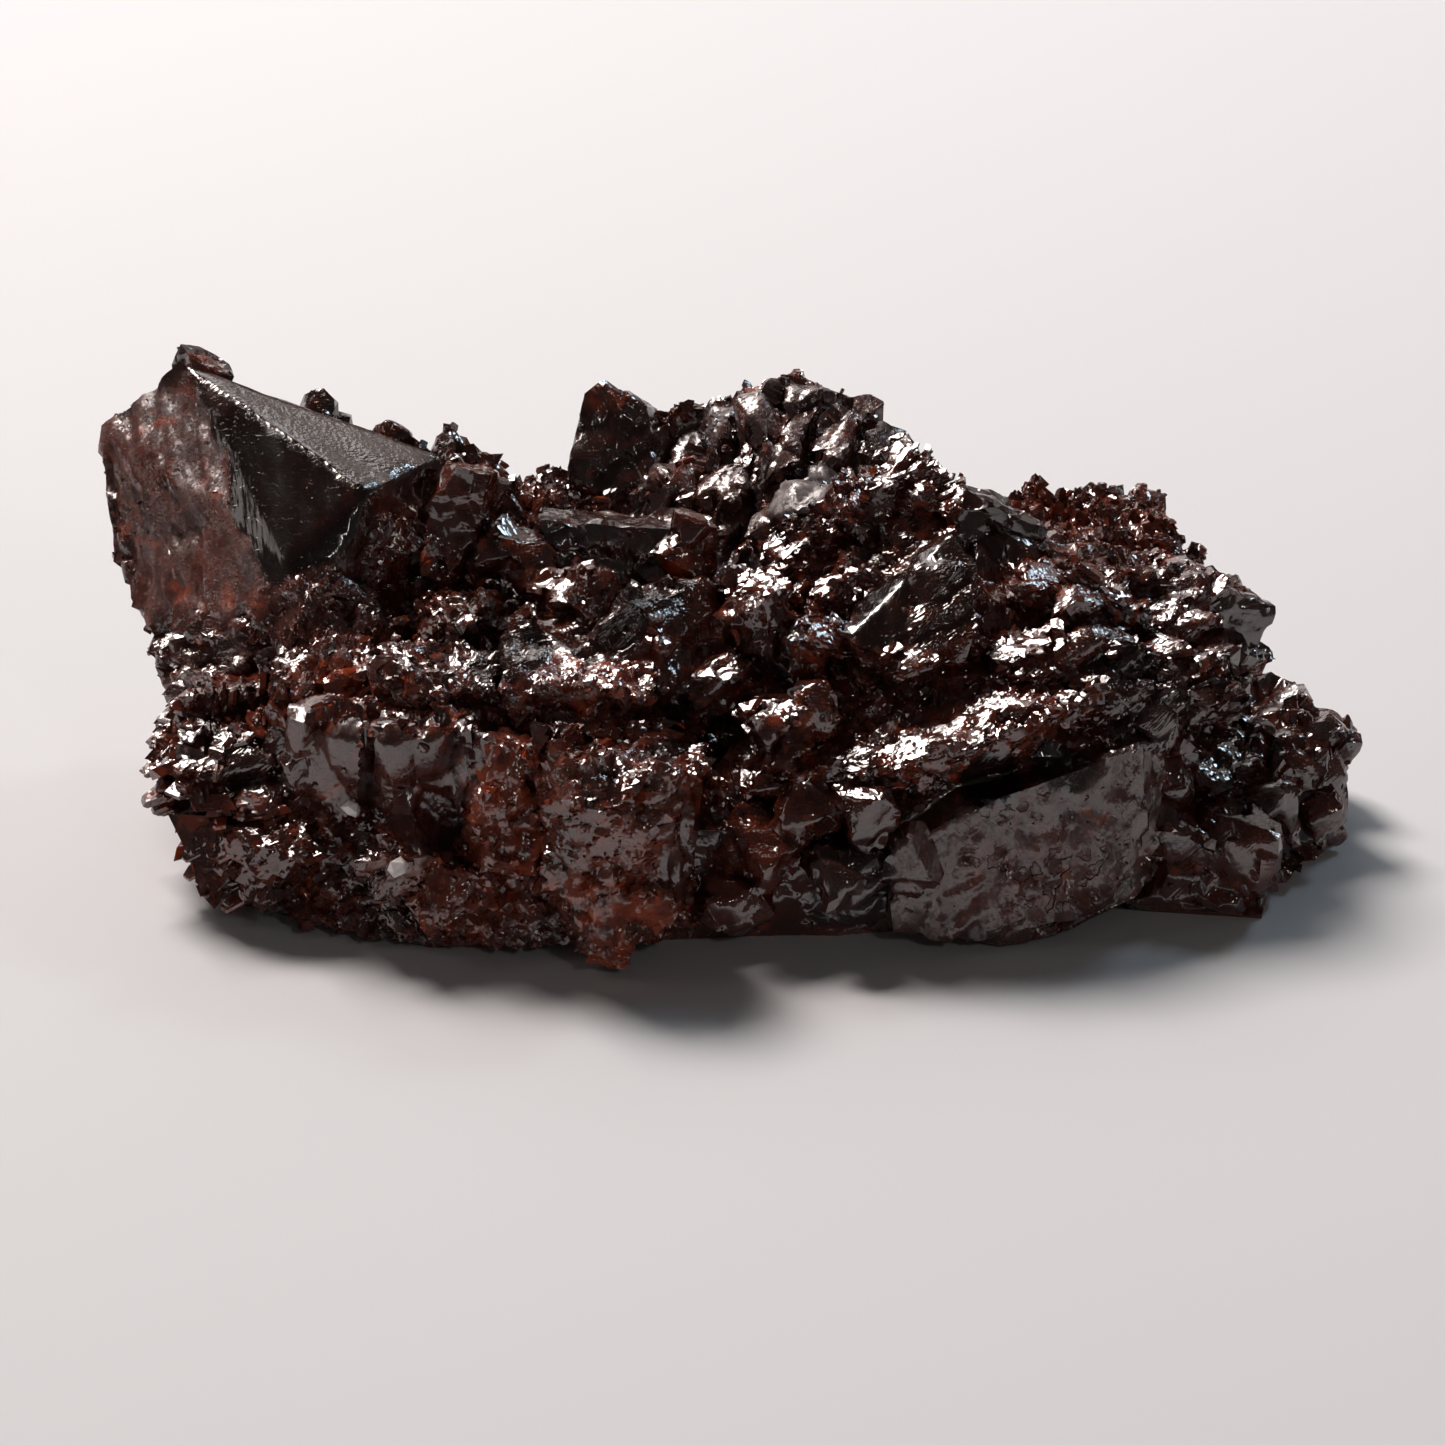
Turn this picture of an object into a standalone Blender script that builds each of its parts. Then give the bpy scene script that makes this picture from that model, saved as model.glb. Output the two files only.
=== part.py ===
"""A sphalerite specimen: dark red-brown crystals grown together into one ragged cluster.

The long way of the specimen runs along X, its best side faces -Y and it rests on z = 0.
Sizes below are millimetres, and to_metres turns the finished cluster into metres.
"""

import math
import random

import bmesh
import bpy
from mathutils import Euler, Matrix, Vector

MM = 0.001
SEED = 11

# How far the lumps are pushed under the resting plane before the base is cut flat.
BASE_CUT = 0.0
# The middle of the finished cluster, which is moved to the origin.
MIDDLE = (0.0464, -0.5224, 0.0)
# Faces that meet flatter than this are one face.
FLAT_ENOUGH = math.radians(1.5)

COLOURS = {
    "sphalerite": ((0.055, 0.022, 0.015), 0.22, 0.0),
}


def clear_scene():
    for obj in list(bpy.data.objects):
        bpy.data.objects.remove(obj, do_unlink=True)


def new_collection(name, hidden=False):
    collection = bpy.data.collections.new(name)
    bpy.context.scene.collection.children.link(collection)
    collection.hide_render = hidden
    return collection


def finish_of(name):
    colour, roughness, metallic = COLOURS[name]
    material = bpy.data.materials.new(name)
    material.use_nodes = True
    shader = material.node_tree.nodes["Principled BSDF"]
    shader.inputs["Base Color"].default_value = (*colour, 1.0)
    shader.inputs["Roughness"].default_value = roughness
    shader.inputs["Metallic"].default_value = metallic
    return material


def object_from(bm, name, collection):
    mesh = bpy.data.meshes.new(name)
    bm.to_mesh(mesh)
    bm.free()
    obj = bpy.data.objects.new(name, mesh)
    collection.objects.link(obj)
    return obj


def break_up(bm, longest, depth, rng):
    """Splits the faces until no edge is longer than longest and moves each new corner in or out a little."""
    while True:
        bmesh.ops.triangulate(bm, faces=bm.faces)
        long_edges = [edge for edge in bm.edges if edge.calc_length() > longest]
        if not long_edges:
            break
        bmesh.ops.subdivide_edges(bm, edges=long_edges, cuts=1)
    bm.normal_update()
    moves = [v.normal * rng.uniform(-depth, depth * 0.6) for v in bm.verts]
    for vertex, move in zip(bm.verts, moves):
        vertex.co += move


def lump(name, corners, collection, broken=None):
    """A lump with flat faces between the given corners, or with faces broken up to a length and a depth."""
    bm = bmesh.new()
    for corner in corners:
        bm.verts.new(corner)
    made = bmesh.ops.convex_hull(bm, input=bm.verts)
    inner = {v for v in made["geom_interior"] if isinstance(v, bmesh.types.BMVert)}
    bmesh.ops.delete(bm, geom=list(inner), context="VERTS")
    bmesh.ops.recalc_face_normals(bm, faces=bm.faces)
    if broken:
        break_up(bm, *broken, random.Random(name))
    return object_from(bm, name, collection)


def cut_away(bm, point, normal):
    """Cuts off what lies beyond the plane and closes the cut."""
    geometry = bm.verts[:] + bm.edges[:] + bm.faces[:]
    cut = bmesh.ops.bisect_plane(
        bm, geom=geometry, dist=1e-5, plane_co=point, plane_no=normal, clear_outer=True
    )
    edges = [e for e in cut["geom_cut"] if isinstance(e, bmesh.types.BMEdge)]
    if edges:
        bmesh.ops.edgenet_fill(bm, edges=edges)


# The four faces of one tetrahedron of the cubic crystal, and the four of the other.
MAIN_FACES = ((1, 1, 1), (1, -1, -1), (-1, 1, -1), (-1, -1, 1))
LESSER_FACES = ((-1, -1, -1), (-1, 1, 1), (1, -1, 1), (1, 1, -1))


# How far a cube's corner is from its middle: a cut that far out takes nothing off.
PLAIN = 0.866


def crystal(name, place, size, turn, collection, main=0.42, lesser=0.72):
    """A crystal block with its corners cut by the two tetrahedra; main and lesser are how far out they cut."""
    bm = bmesh.new()
    bmesh.ops.create_cube(bm, size=1.0)
    reaches = [(face, main) for face in MAIN_FACES] + [(face, lesser) for face in LESSER_FACES]
    for face, reach in reaches:
        if reach >= PLAIN:
            continue
        normal = Vector(face).normalized()
        cut_away(bm, normal * reach, normal)
    bmesh.ops.recalc_face_normals(bm, faces=bm.faces)
    matrix = Matrix.Translation(place) @ turn.to_matrix().to_4x4() @ Matrix.Diagonal((*size, 1.0))
    bmesh.ops.transform(bm, matrix=matrix, verts=bm.verts)
    return object_from(bm, name, collection)


# The lumps whose faces are broken up: no edge longer than the first number, and as deep as the second.
# The others keep clean crystal faces.
BROKEN = {
    "base": (6.5, 0.6), "left_skirt": (3.6, 0.5), "saddle": (4.4, 0.9), "knob": (4.2, 0.9), "main": (4.2, 0.9),
    "front_ledge": (4.2, 0.8), "front_block": (3.6, 0.6), "back_slope": (5.0, 0.7), "bright_ledge": (4.2, 0.6),
}
# The great lumps that the small crystals grow on, each by its corners.
LUMPS = {
    "base": [
        (-23.6, -8.2, -1), (-21.6, -9.8, -1), (-17.6, -12.2, -1), (-13.5, -14.0, -1), (-8, -13.8, -1),
        (-1, -11.4, -1), (6.1, -11.4, -1), (9.3, -12.4, -1), (12.4, -12.0, -1), (17, -10.2, -1),
        (21, -7, -1), (21, 2, -1), (14, 9, -1), (0, 11, -1), (-14, 9, -1), (-21, 4, -1), (-24, -4, -1),
        (-23.5, -8, 4.5), (-10, -13, 5), (10, -11.5, 5), (19, -8, 5), (20, 4, 6), (8, 11, 6), (-12, 11, 6),
        (-22, 6, 6),
    ],
    "left_peak": [
        (-24.8, 7.8, 19.1), (-28.9, 7.6, 16.2), (-28.2, 6.0, 13.2), (-27.8, 3.1, 11.3), (-26.2, 0.1, 9.4),
        (-25.2, -2.1, 7.6), (-18.9, -4.4, 10.6), (-19.5, -2.5, 13.5), (-13.0, 5.1, 15.7), (-16.1, -0.2, 16.1),
        (-26.5, 13.0, 13.0), (-17.0, 13.5, 12.5), (-24.0, 0.0, 5.0), (-13.0, 0.0, 7.0), (-15.0, 11.0, 5.0),
        (-24.5, 9.0, 6.0),
    ],
    "left_skirt": [
        (-26.2, 1.2, 10.7), (-25.2, -1.4, 8.8), (-23.7, -3.9, 7.5), (-19.0, -5.4, 9.8), (-18.4, -3.4, 12.8),
        (-21.9, -0.3, 12.9), (-25.3, 2.8, 12.0), (-15.6, -2.4, 12.6), (-14.6, -4.4, 10.4), (-22.4, 5.0, 6.3),
        (-15.0, 2.0, 7.3), (-22.3, -1.1, 5.2),
    ],
    "saddle": [
        (-15.0, 9.0, 13.6), (-7.5, 6.0, 13.0), (-6.0, 12.0, 12.0), (-14.0, 13.0, 10.5), (-14.0, -1.0, 10.5),
        (-4.0, -1.5, 9.5), (-14.0, 0.0, 4.0), (-3.0, 0.0, 4.0), (-14.0, 12.0, 3.0), (-4.0, 13.0, 3.0),
    ],
    "knob": [
        (-2.2, 9.8, 15.9), (2.7, 10.6, 17.4), (5.0, 10.6, 17.3), (7.7, 10.0, 16.6), (9.2, 7.6, 14.0),
        (-1.0, 0.8, 11.6), (5.8, 1.0, 12.6), (-6.8, 4.5, 12.4), (-3.0, 14.5, 10.0), (8.0, 14.5, 10.0),
        (-6.0, 2.0, 5.0), (9.0, 2.0, 5.0), (9.0, 13.0, 3.0), (-6.0, 13.0, 3.0),
    ],
    "knob_blade": [
        (-6.2, 9.1, 17.0), (-5.4, 9.3, 17.6), (-3.4, 8.9, 16.7), (-6.9, 7.0, 14.6), (-3.2, 6.4, 13.6),
        (-6.0, 11.2, 15.4), (-2.8, 11.0, 15.6), (-7.0, 6.0, 11.0), (-3.0, 6.0, 11.0), (-6.2, 12.0, 10.0),
        (-3.0, 12.0, 10.0),
    ],
    "main": [
        (9.6, -0.8, 16.9), (4.4, -1.8, 14.6), (14.6, -3.6, 13.6), (22.6, -3.2, 10.8), (22.4, -5.6, 8.4),
        (18.4, -8.8, 9.4), (12.0, -10.0, 10.0), (7.8, -10.8, 8.9), (1.4, -6.6, 10.8), (-1.0, -10.6, 6.0),
        (16.4, -11.6, 6.0), (10.0, -12.6, 5.6), (18.6, -11.8, 1.0), (12.2, -13.6, 0.4), (6.0, -13.0, 0.6),
        (-1.0, -12.0, 1.0), (8.0, 6.5, 11.5), (19.0, 6.0, 9.5), (21.5, 2.0, 5.0), (18.0, 8.0, 2.0),
        (5.0, 8.0, 4.0),
    ],
    "front_ledge": [
        (-24.6, -4.4, 5.6), (-24.0, -3.4, 7.0), (-18.2, -9.4, 9.2), (-11.1, -10.3, 10.0), (-7.1, -10.4, 10.4),
        (-1.6, -12.4, 8.8), (-1.6, -13.8, 1.0), (-9.7, -15.4, 0.4), (-13.3, -14.8, 0.2), (-17.3, -13.4, 0.4),
        (-23.4, -10.8, 1.0), (-23.6, -8.4, 5.6), (-16.7, -5.2, 9.4), (-4.4, -6.6, 10.2), (-18.0, 0.0, 2.0),
        (0.0, 0.0, 2.0),
    ],
    "front_block": [
        (-7.0, -15.2, 10.0), (-7.4, -16.9, 8.6), (-2.6, -15.9, 9.6), (-2.2, -17.2, 8.0), (-2.6, -16.4, 3.6),
        (-5.0, -16.9, 0.5), (-6.4, -15.6, 0.6), (-7.6, -16.4, 4.6), (-5.2, -17.9, 6.0), (-8.0, -12.0, 9.2),
        (-1.2, -11.0, 8.8), (-1.2, -13.6, 9.0), (-1.2, -13.0, 1.2), (-7.0, -12.0, 1.0), (-2.0, -12.0, 1.0),
    ],
    "back_slope": [
        (-19.4, 14.2, 9.4), (-8.0, 15.4, 8.5), (6.0, 15.5, 8.0), (15.0, 11.0, 8.0), (-20.4, 12.6, 3.2),
        (-8.0, 16.0, 1.5), (8.0, 15.5, 1.0), (17.0, 9.0, 1.0), (-18.0, 3.0, 4.0), (15.0, 2.0, 4.0),
        (10.0, 12.0, -1.0), (-10.0, 13.0, -1.0),
    ],
}


# Crystals and ledges with a place of their own: centre, size, turn in degrees, and how far out the two
# tetrahedra cut (small numbers cut deep, and 0.87 leaves a plain block).
PLACED = {
    # Terraces that step down to the right-hand tip.
    "terrace_1": ((17.0, 0.2, 12.4), (9.0, 7.0, 1.8), (-9, 13, -8), (0.87, 0.87)),
    "terrace_2": ((18.8, -2.8, 11.4), (7.4, 6.0, 1.4), (-13, 11, -4), (0.87, 0.87)),
    "terrace_3": ((18.2, -4.8, 10.4), (8.6, 6.0, 1.5), (-16, 9, 3), (0.87, 0.87)),
    "terrace_4": ((19.0, -6.0, 9.0), (7.6, 6.0, 1.5), (-12, 6, 8), (0.87, 0.87)),
    "terrace_5": ((14.6, -3.0, 12.6), (5.0, 5.0, 1.6), (-12, 20, 14), (0.70, 0.87)),
    "terrace_6": ((14.4, -6.4, 10.9), (5.4, 4.6, 1.8), (-20, 4, 20), (0.66, 0.87)),
    "tip": ((21.6, -2.0, 11.1), (4.4, 4.8, 3.0), (-6, 22, 14), (0.66, 0.87)),
    "under_tip": ((21.4, -4.2, 9.8), (3.6, 4.0, 3.0), (14, 30, -20), (0.62, 0.87)),
    "back_step": ((16.6, 3.4, 11.7), (7.5, 4.5, 3.6), (6, -3, 6), (0.70, 0.87)),
    "back_step_end": ((18.7, 2.2, 11.6), (3.4, 3.6, 3.2), (10, 24, 30), (0.60, 0.87)),
    # Crystals that run up the drusy slope to the crest.
    "slope_1": ((5.4, -1.0, 14.6), (2.2, 2.0, 4.6), (-30, 40, 10), (0.62, 0.87)),
    "slope_2": ((7.4, -0.6, 15.9), (2.4, 2.2, 4.8), (-24, 52, 6), (0.60, 0.87)),
    "slope_3": ((3.4, -2.6, 13.4), (2.4, 2.2, 4.0), (-34, 30, 16), (0.58, 0.87)),
    "slope_4": ((3.4, 0.8, 14.0), (2.4, 2.4, 3.6), (-20, 34, 24), (0.60, 0.87)),
    "slope_5": ((5.2, -4.6, 12.7), (2.0, 2.0, 4.0), (-26, 44, 2), (0.60, 0.87)),
    "slope_6": ((1.6, -4.4, 12.0), (2.2, 2.2, 3.4), (-30, 24, 30), (0.56, 0.87)),
    "crest_1": ((8.8, -0.4, 15.6), (3.0, 2.6, 2.2), (10, 24, 20), (0.60, 0.87)),
    "crest_2": ((12.0, -1.0, 14.9), (4.2, 2.6, 2.0), (-6, 26, 4), (0.64, 0.87)),
    # Right-hand cluster of blocks, low down and further back.
    "block_front": ((21.3, -7.6, 1.9), (6.6, 6.0, 4.0), (0, 3, -8), (0.87, 0.87)),
    "block_middle": ((23.8, -5.2, 2.3), (3.0, 5.4, 4.6), (4, -6, 12), (0.74, 0.87)),
    "block_end": ((26.1, -2.0, 2.6), (3.4, 5.0, 4.8), (-5, 8, 20), (0.72, 0.87)),
    "block_end_back": ((26.6, 1.6, 2.4), (2.8, 4.0, 3.4), (5, 5, 30), (0.70, 0.87)),
    "block_top": ((24.8, 0.8, 3.8), (3.8, 4.2, 2.8), (-6, -8, 12), (0.70, 0.87)),
    "block_recess": ((21.6, -3.6, 3.0), (4.5, 6.0, 4.0), (3, 6, 4), (0.72, 0.87)),
    "block_low": ((24.6, -1.5, 1.4), (5.0, 8.0, 3.4), (0, 0, 8), (0.74, 0.87)),
    # Crystals standing in the valley between the left peak and the main mass.
    "valley_bar": ((-4.9, 1.5, 12.6), (6.9, 3.2, 2.6), (-14, 3, -4), (0.87, 0.87)),
    "valley_gem": ((-1.5, -0.3, 13.4), (1.5, 1.6, 3.0), (8, 10, 24), (0.60, 0.87)),
    "valley_knot_1": ((-10.1, -0.3, 13.2), (2.4, 2.4, 2.4), (20, 30, 10), (0.50, 0.66)),
    "valley_knot_2": ((-8.7, -1.4, 12.8), (1.9, 2.0, 2.4), (-20, 12, 40), (0.50, 0.66)),
    "valley_knot_3": ((-7.4, -2.8, 12.0), (2.0, 2.4, 2.0), (35, -12, 10), (0.52, 0.66)),
    "dark_curl": ((-11.9, 1.0, 14.3), (2.4, 3.4, 4.8), (-18, 8, -14), (0.62, 0.87)),
    "striated_prism": ((-4.9, -6.2, 11.2), (1.9, 2.2, 5.0), (-12, 36, -12), (0.87, 0.87)),
    "valley_oval_1": ((-0.1, -7.2, 9.8), (3.2, 2.2, 1.8), (10, -14, 12), (0.56, 0.68)),
    "valley_oval_2": ((2.1, -6.2, 11.8), (2.2, 2.0, 2.0), (-14, 20, 30), (0.56, 0.68)),
    "valley_oval_3": ((4.0, -7.6, 11.9), (2.4, 2.0, 1.6), (10, -24, 8), (0.58, 0.87)),
    "red_gem": ((3.0, -10.2, 9.4), (3.6, 2.4, 2.0), (-8, -16, 14), (0.56, 0.68)),
    "valley_step_1": ((-8.1, -5.6, 10.8), (3.6, 3.0, 2.6), (12, 18, 24), (0.54, 0.68)),
    "valley_step_2": ((-6.4, -3.4, 11.6), (2.6, 2.6, 3.0), (-16, 10, 38), (0.54, 0.68)),
    "valley_step_3": ((-11.6, -4.0, 11.0), (3.4, 3.2, 2.6), (14, -20, 10), (0.54, 0.68)),
    # Foot of the front wall below the sparkling ledge.
    "foot_gem_1": ((3.6, -12.4, 6.0), (2.6, 2.4, 3.0), (18, 30, 24), (0.44, 0.66)),
    "foot_gem_2": ((5.6, -13.4, 3.4), (3.4, 3.0, 2.6), (-12, 14, 32), (0.48, 0.66)),
    "foot_gem_3": ((6.3, -13.0, 6.2), (2.2, 2.4, 2.8), (8, -12, 18), (0.56, 0.68)),
    "foot_gem_4": ((1.4, -12.0, 4.0), (2.8, 2.6, 3.4), (14, 20, -18), (0.50, 0.66)),
    "foot_gem_5": ((0.4, -12.9, 1.8), (3.0, 2.6, 2.4), (-10, 24, 12), (0.52, 0.66)),
    # Ledges and crystals of the lower left.
    "left_plate_1": ((-21.6, -3.8, 8.0), (6.0, 5.0, 1.3), (-10, -16, 8), (0.87, 0.87)),
    "left_plate_2": ((-21.8, -5.4, 6.6), (6.4, 5.0, 1.4), (-12, -14, 4), (0.87, 0.87)),
    "left_plate_3": ((-22.0, -6.4, 5.0), (5.4, 5.0, 1.3), (-10, -10, -4), (0.87, 0.87)),
    "left_gem_1": ((-21.6, -8.6, 6.2), (2.8, 2.6, 3.0), (14, 30, 20), (0.52, 0.68)),
    "left_gem_2": ((-21.8, -9.6, 3.4), (3.4, 3.0, 2.6), (-10, 16, 30), (0.56, 0.87)),
    "left_gem_3": ((-19.8, -11.4, 3.3), (3.2, 2.8, 3.2), (20, -14, 12), (0.52, 0.68)),
    "left_gem_4": ((-14.1, -13.6, 4.2), (2.8, 2.4, 2.8), (10, 24, -20), (0.52, 0.68)),
    "left_gem_5": ((-11.9, -14.2, 2.8), (3.2, 2.6, 2.6), (-14, 12, 26), (0.56, 0.87)),
    "flat_face_1": ((-16.6, -9.6, 7.6), (3.6, 4.0, 4.2), (6, 8, -26), (0.87, 0.87)),
    "flat_face_2": ((-13.0, -10.6, 7.2), (3.8, 4.4, 5.6), (4, -6, 10), (0.87, 0.87)),
    "rough_face": ((-9.2, -12.0, 6.6), (4.2, 4.6, 5.6), (-6, 10, 22), (0.66, 0.87)),
    "ledge_top_1": ((-17.8, -6.4, 9.6), (4.4, 3.6, 2.2), (10, -14, 12), (0.60, 0.87)),
    "ledge_top_2": ((-12.6, -8.0, 10.2), (5.6, 3.6, 1.8), (8, -4, -6), (0.66, 0.87)),
    "ledge_top_3": ((-6.4, -8.8, 10.6), (6.4, 4.0, 1.8), (6, 4, 6), (0.66, 0.87)),
    # Small crystals along the back rim of the left peak.
    "rim_gem_1": ((-24.3, 9.6, 17.6), (1.8, 2.2, 2.0), (10, 20, 30), (0.56, 0.87)),
    "rim_gem_2": ((-18.9, 9.4, 16.1), (1.6, 1.8, 1.8), (30, 10, 12), (0.52, 0.68)),
    "rim_gem_3": ((-15.4, 7.2, 15.6), (1.5, 1.6, 1.5), (12, 30, 40), (0.52, 0.68)),
    "rim_gem_4": ((-12.6, 6.6, 14.8), (1.8, 2.2, 2.0), (24, 16, 8), (0.52, 0.68)),
    "rim_gem_5": ((-11.4, 7.4, 13.4), (2.2, 2.6, 2.0), (12, 20, 30), (0.56, 0.87)),
}

# Larger features of unlike faces, each by its corners.
FEATURES = {
    "dark_wedge": [
        (10.2, -5.2, 16.2), (5.4, -8.8, 12.6), (6.0, -5.6, 13.4), (11.2, -6.4, 14.8), (8.2, -10.2, 12.0),
        (11.2, -8.6, 12.8), (10.2, -1.6, 15.0), (7.0, -2.6, 11.0), (8.5, -8.0, 9.0), (12.0, -5.0, 10.0),
    ],
    "valley_wedge": [
        (-0.8, -3.7, 13.5), (-3.7, -6.3, 13.2), (-5.2, -7.4, 12.0), (-2.8, -9.2, 10.4), (0.6, -2.6, 11.8),
        (0.8, -5.4, 10.2), (-4.6, -3.2, 12.3), (-1.0, -7.5, 8.0), (-5.0, -6.0, 8.0), (0.0, -3.0, 8.0),
    ],
    "bright_ledge": [
        (0.8, -11.4, 6.4), (6.0, -13.4, 8.5), (10.3, -13.0, 9.3), (14.6, -11.5, 10.6), (16.2, -9.6, 10.2),
        (7.8, -9.9, 9.7), (12.2, -8.8, 10.6), (2.4, -9.6, 8.2), (7.8, -12.8, 6.6), (12.0, -12.0, 7.6),
        (3.0, -10.0, 5.0), (14.0, -9.0, 6.0),
    ],
    "front_face": [
        (7.2, -14.1, 4.4), (12.1, -13.2, 7.0), (18.4, -10.8, 8.3), (18.8, -11.6, 3.8), (16.6, -13.2, 1.6),
        (11.2, -14.4, 0.6), (7.6, -14.2, 1.0), (8.0, -9.0, 6.0), (17.0, -6.0, 7.0), (9.0, -8.0, 1.0),
        (17.0, -8.0, 1.0),
    ],
}

# Crystals that lie down the knob's front: place along it, height up it, length, width, lean.
KNOB_RIDGES = [
    (0.10, 0.30, 3.4, 1.5, 6), (0.22, 0.75, 4.2, 1.4, 16), (0.33, 0.20, 3.2, 1.3, 10), (0.42, 0.70, 4.8, 1.7, 20),
    (0.53, 0.35, 3.6, 1.4, 12), (0.62, 0.85, 4.6, 1.9, 14), (0.74, 0.25, 3.4, 1.5, 22), (0.84, 0.70, 4.4, 1.9, 8),
    (0.97, 0.40, 4.0, 1.8, 18),
]
KNOB_FOOT = (Vector((-3.6, 3.6, 12.6)), Vector((6.8, 3.6, 13.2)))
KNOB_CREST = (Vector((-2.6, 7.8, 14.6)), Vector((7.4, 8.0, 15.2)))

# Growth domains: crystals near one place share its turn, so that their faces catch the light together.
DOMAINS = 24
SCATTERED = 80
SMALLEST, LARGEST = 1.3, 2.8
# How much of its size a crystal is sunk below the surface that it grows on.
SUNK = 0.28
# Clean faces where nothing small grows, as centre and radius.
BARE = [
    ((-20.5, 4.0, 17.0), 6.5), ((-24.5, 3.5, 14.0), 4.5), ((-17.5, -0.5, 14.5), 3.0), ((12.5, -14.0, 4.5), 4.6),
    ((16.5, -12.0, 6.0), 3.4), ((-14.5, -12.0, 7.5), 3.2), ((8.5, -7.5, 14.0), 3.0), ((-4.6, 8.5, 16.0), 3.6),
    ((24.6, 0.6, 5.6), 2.4), ((-26.6, -0.6, 8.4), 2.4), ((-12.5, 7.0, 15.5), 2.8), ((-20.0, -0.5, 13.5), 4.5),
    ((-28.5, 7.0, 14.0), 4.5), ((14.0, 2.0, 13.6), 2.6), ((24.0, -2.0, 11.0), 2.4), ((29.0, 0.0, 3.0), 2.5),
    ((18.6, 4.0, 13.6), 3.2), ((11.0, -15.0, 0.8), 3.0),
]


def great_lumps(collection):
    return [
        lump(name, corners, collection, BROKEN.get(name)) for name, corners in (LUMPS | FEATURES).items()
    ]


def degrees(turn):
    return Euler([math.radians(angle) for angle in turn])


def placed_crystals(collection):
    return [
        crystal(name, Vector(place), size, degrees(turn), collection, *cuts)
        for name, (place, size, turn, cuts) in PLACED.items()
    ]


def knob_ridges(collection):
    """Long bumpy crystals side by side, leaning the way the knob's front slopes."""
    made = []
    for number, (along, up, length, width, lean) in enumerate(KNOB_RIDGES):
        foot, crest = KNOB_FOOT[0].lerp(KNOB_FOOT[1], along), KNOB_CREST[0].lerp(KNOB_CREST[1], along)
        place = foot.lerp(crest, up) + Vector((0, 0, 0.9 * math.sin(math.pi * along)))
        turn = degrees((-52, lean, lean - 10))
        size = (width, width, length)
        made.append(crystal(f"knob_ridge_{number}", place, size, turn, collection, 0.54, PLAIN))
    return made


def is_bare(point):
    return any((point - Vector(centre)).length < radius for centre, radius in BARE)


def surface_points(mesh, count, rng):
    """Random points on a mesh, as many on each face as its area asks for."""
    mesh.calc_loop_triangles()
    triangles = list(mesh.loop_triangles)
    weights = [triangle.area for triangle in triangles]
    for triangle in rng.choices(triangles, weights, k=count):
        a, b, c = (mesh.vertices[i].co for i in triangle.vertices)
        u, v = rng.random(), rng.random()
        if u + v > 1:
            u, v = 1 - u, 1 - v
        yield a + (b - a) * u + (c - a) * v, triangle.normal.copy()


def scattered_crystals(mesh, collection):
    """Small crystals over the whole surface except the clean faces and the underside."""
    rng = random.Random(SEED)
    domains = []
    for point, _ in surface_points(mesh, DOMAINS, rng):
        domains.append((point, [rng.uniform(0, 90) for _ in range(3)]))
    made = []
    for point, normal in surface_points(mesh, SCATTERED * 3, rng):
        size = SMALLEST + (LARGEST - SMALLEST) * rng.random() ** 2
        jitter = [rng.uniform(-10, 10) for _ in range(3)]
        stretch = [rng.uniform(0.8, 1.25) for _ in range(3)]
        if len(made) == SCATTERED:
            break
        if is_bare(point) or normal.z < -0.6 or point.z < 0.6:
            continue
        near = min(domains, key=lambda domain: (domain[0] - point).length)
        turn = degrees([a + b for a, b in zip(near[1], jitter)])
        dimensions = [size * s for s in stretch]
        place = point - normal * size * SUNK
        made.append(crystal(f"small_{len(made)}", place, dimensions, turn, collection, rng.uniform(0.42, 0.6), PLAIN))
    return made


def union_of(objects, name, collection):
    """One closed mesh from overlapping ones."""
    first = objects[0]
    others = new_collection("joined", hidden=True)
    for obj in objects[1:]:
        others.objects.link(obj)
    union = first.modifiers.new("union", "BOOLEAN")
    union.operation = "UNION"
    union.operand_type = "COLLECTION"
    union.collection = others
    union.solver = "EXACT"
    graph = bpy.context.evaluated_depsgraph_get()
    mesh = bpy.data.meshes.new_from_object(first.evaluated_get(graph))
    mesh.name = name
    whole = bpy.data.objects.new(name, mesh)
    collection.objects.link(whole)
    first.modifiers.clear()
    return whole


def keep_largest(bm):
    """Removes the crumbs that the joining leaves apart from the great body."""
    bm.verts.index_update()
    unseen = set(bm.verts)
    bodies = []
    while unseen:
        body, edge_of_body = set(), [unseen.pop()]
        while edge_of_body:
            vertex = edge_of_body.pop()
            body.add(vertex)
            for edge in vertex.link_edges:
                other = edge.other_vert(vertex)
                if other in unseen:
                    unseen.discard(other)
                    edge_of_body.append(other)
        bodies.append(body)
    largest = max(bodies, key=len)
    crumbs = [vertex for vertex in bm.verts if vertex not in largest]
    bmesh.ops.delete(bm, geom=crumbs, context="VERTS")


def tidy(bm):
    """Joins the faces that lie in one plane and splits the result into triangles."""
    bmesh.ops.dissolve_limit(bm, angle_limit=FLAT_ENOUGH, verts=bm.verts, edges=bm.edges)
    bmesh.ops.triangulate(bm, faces=bm.faces)


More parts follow.
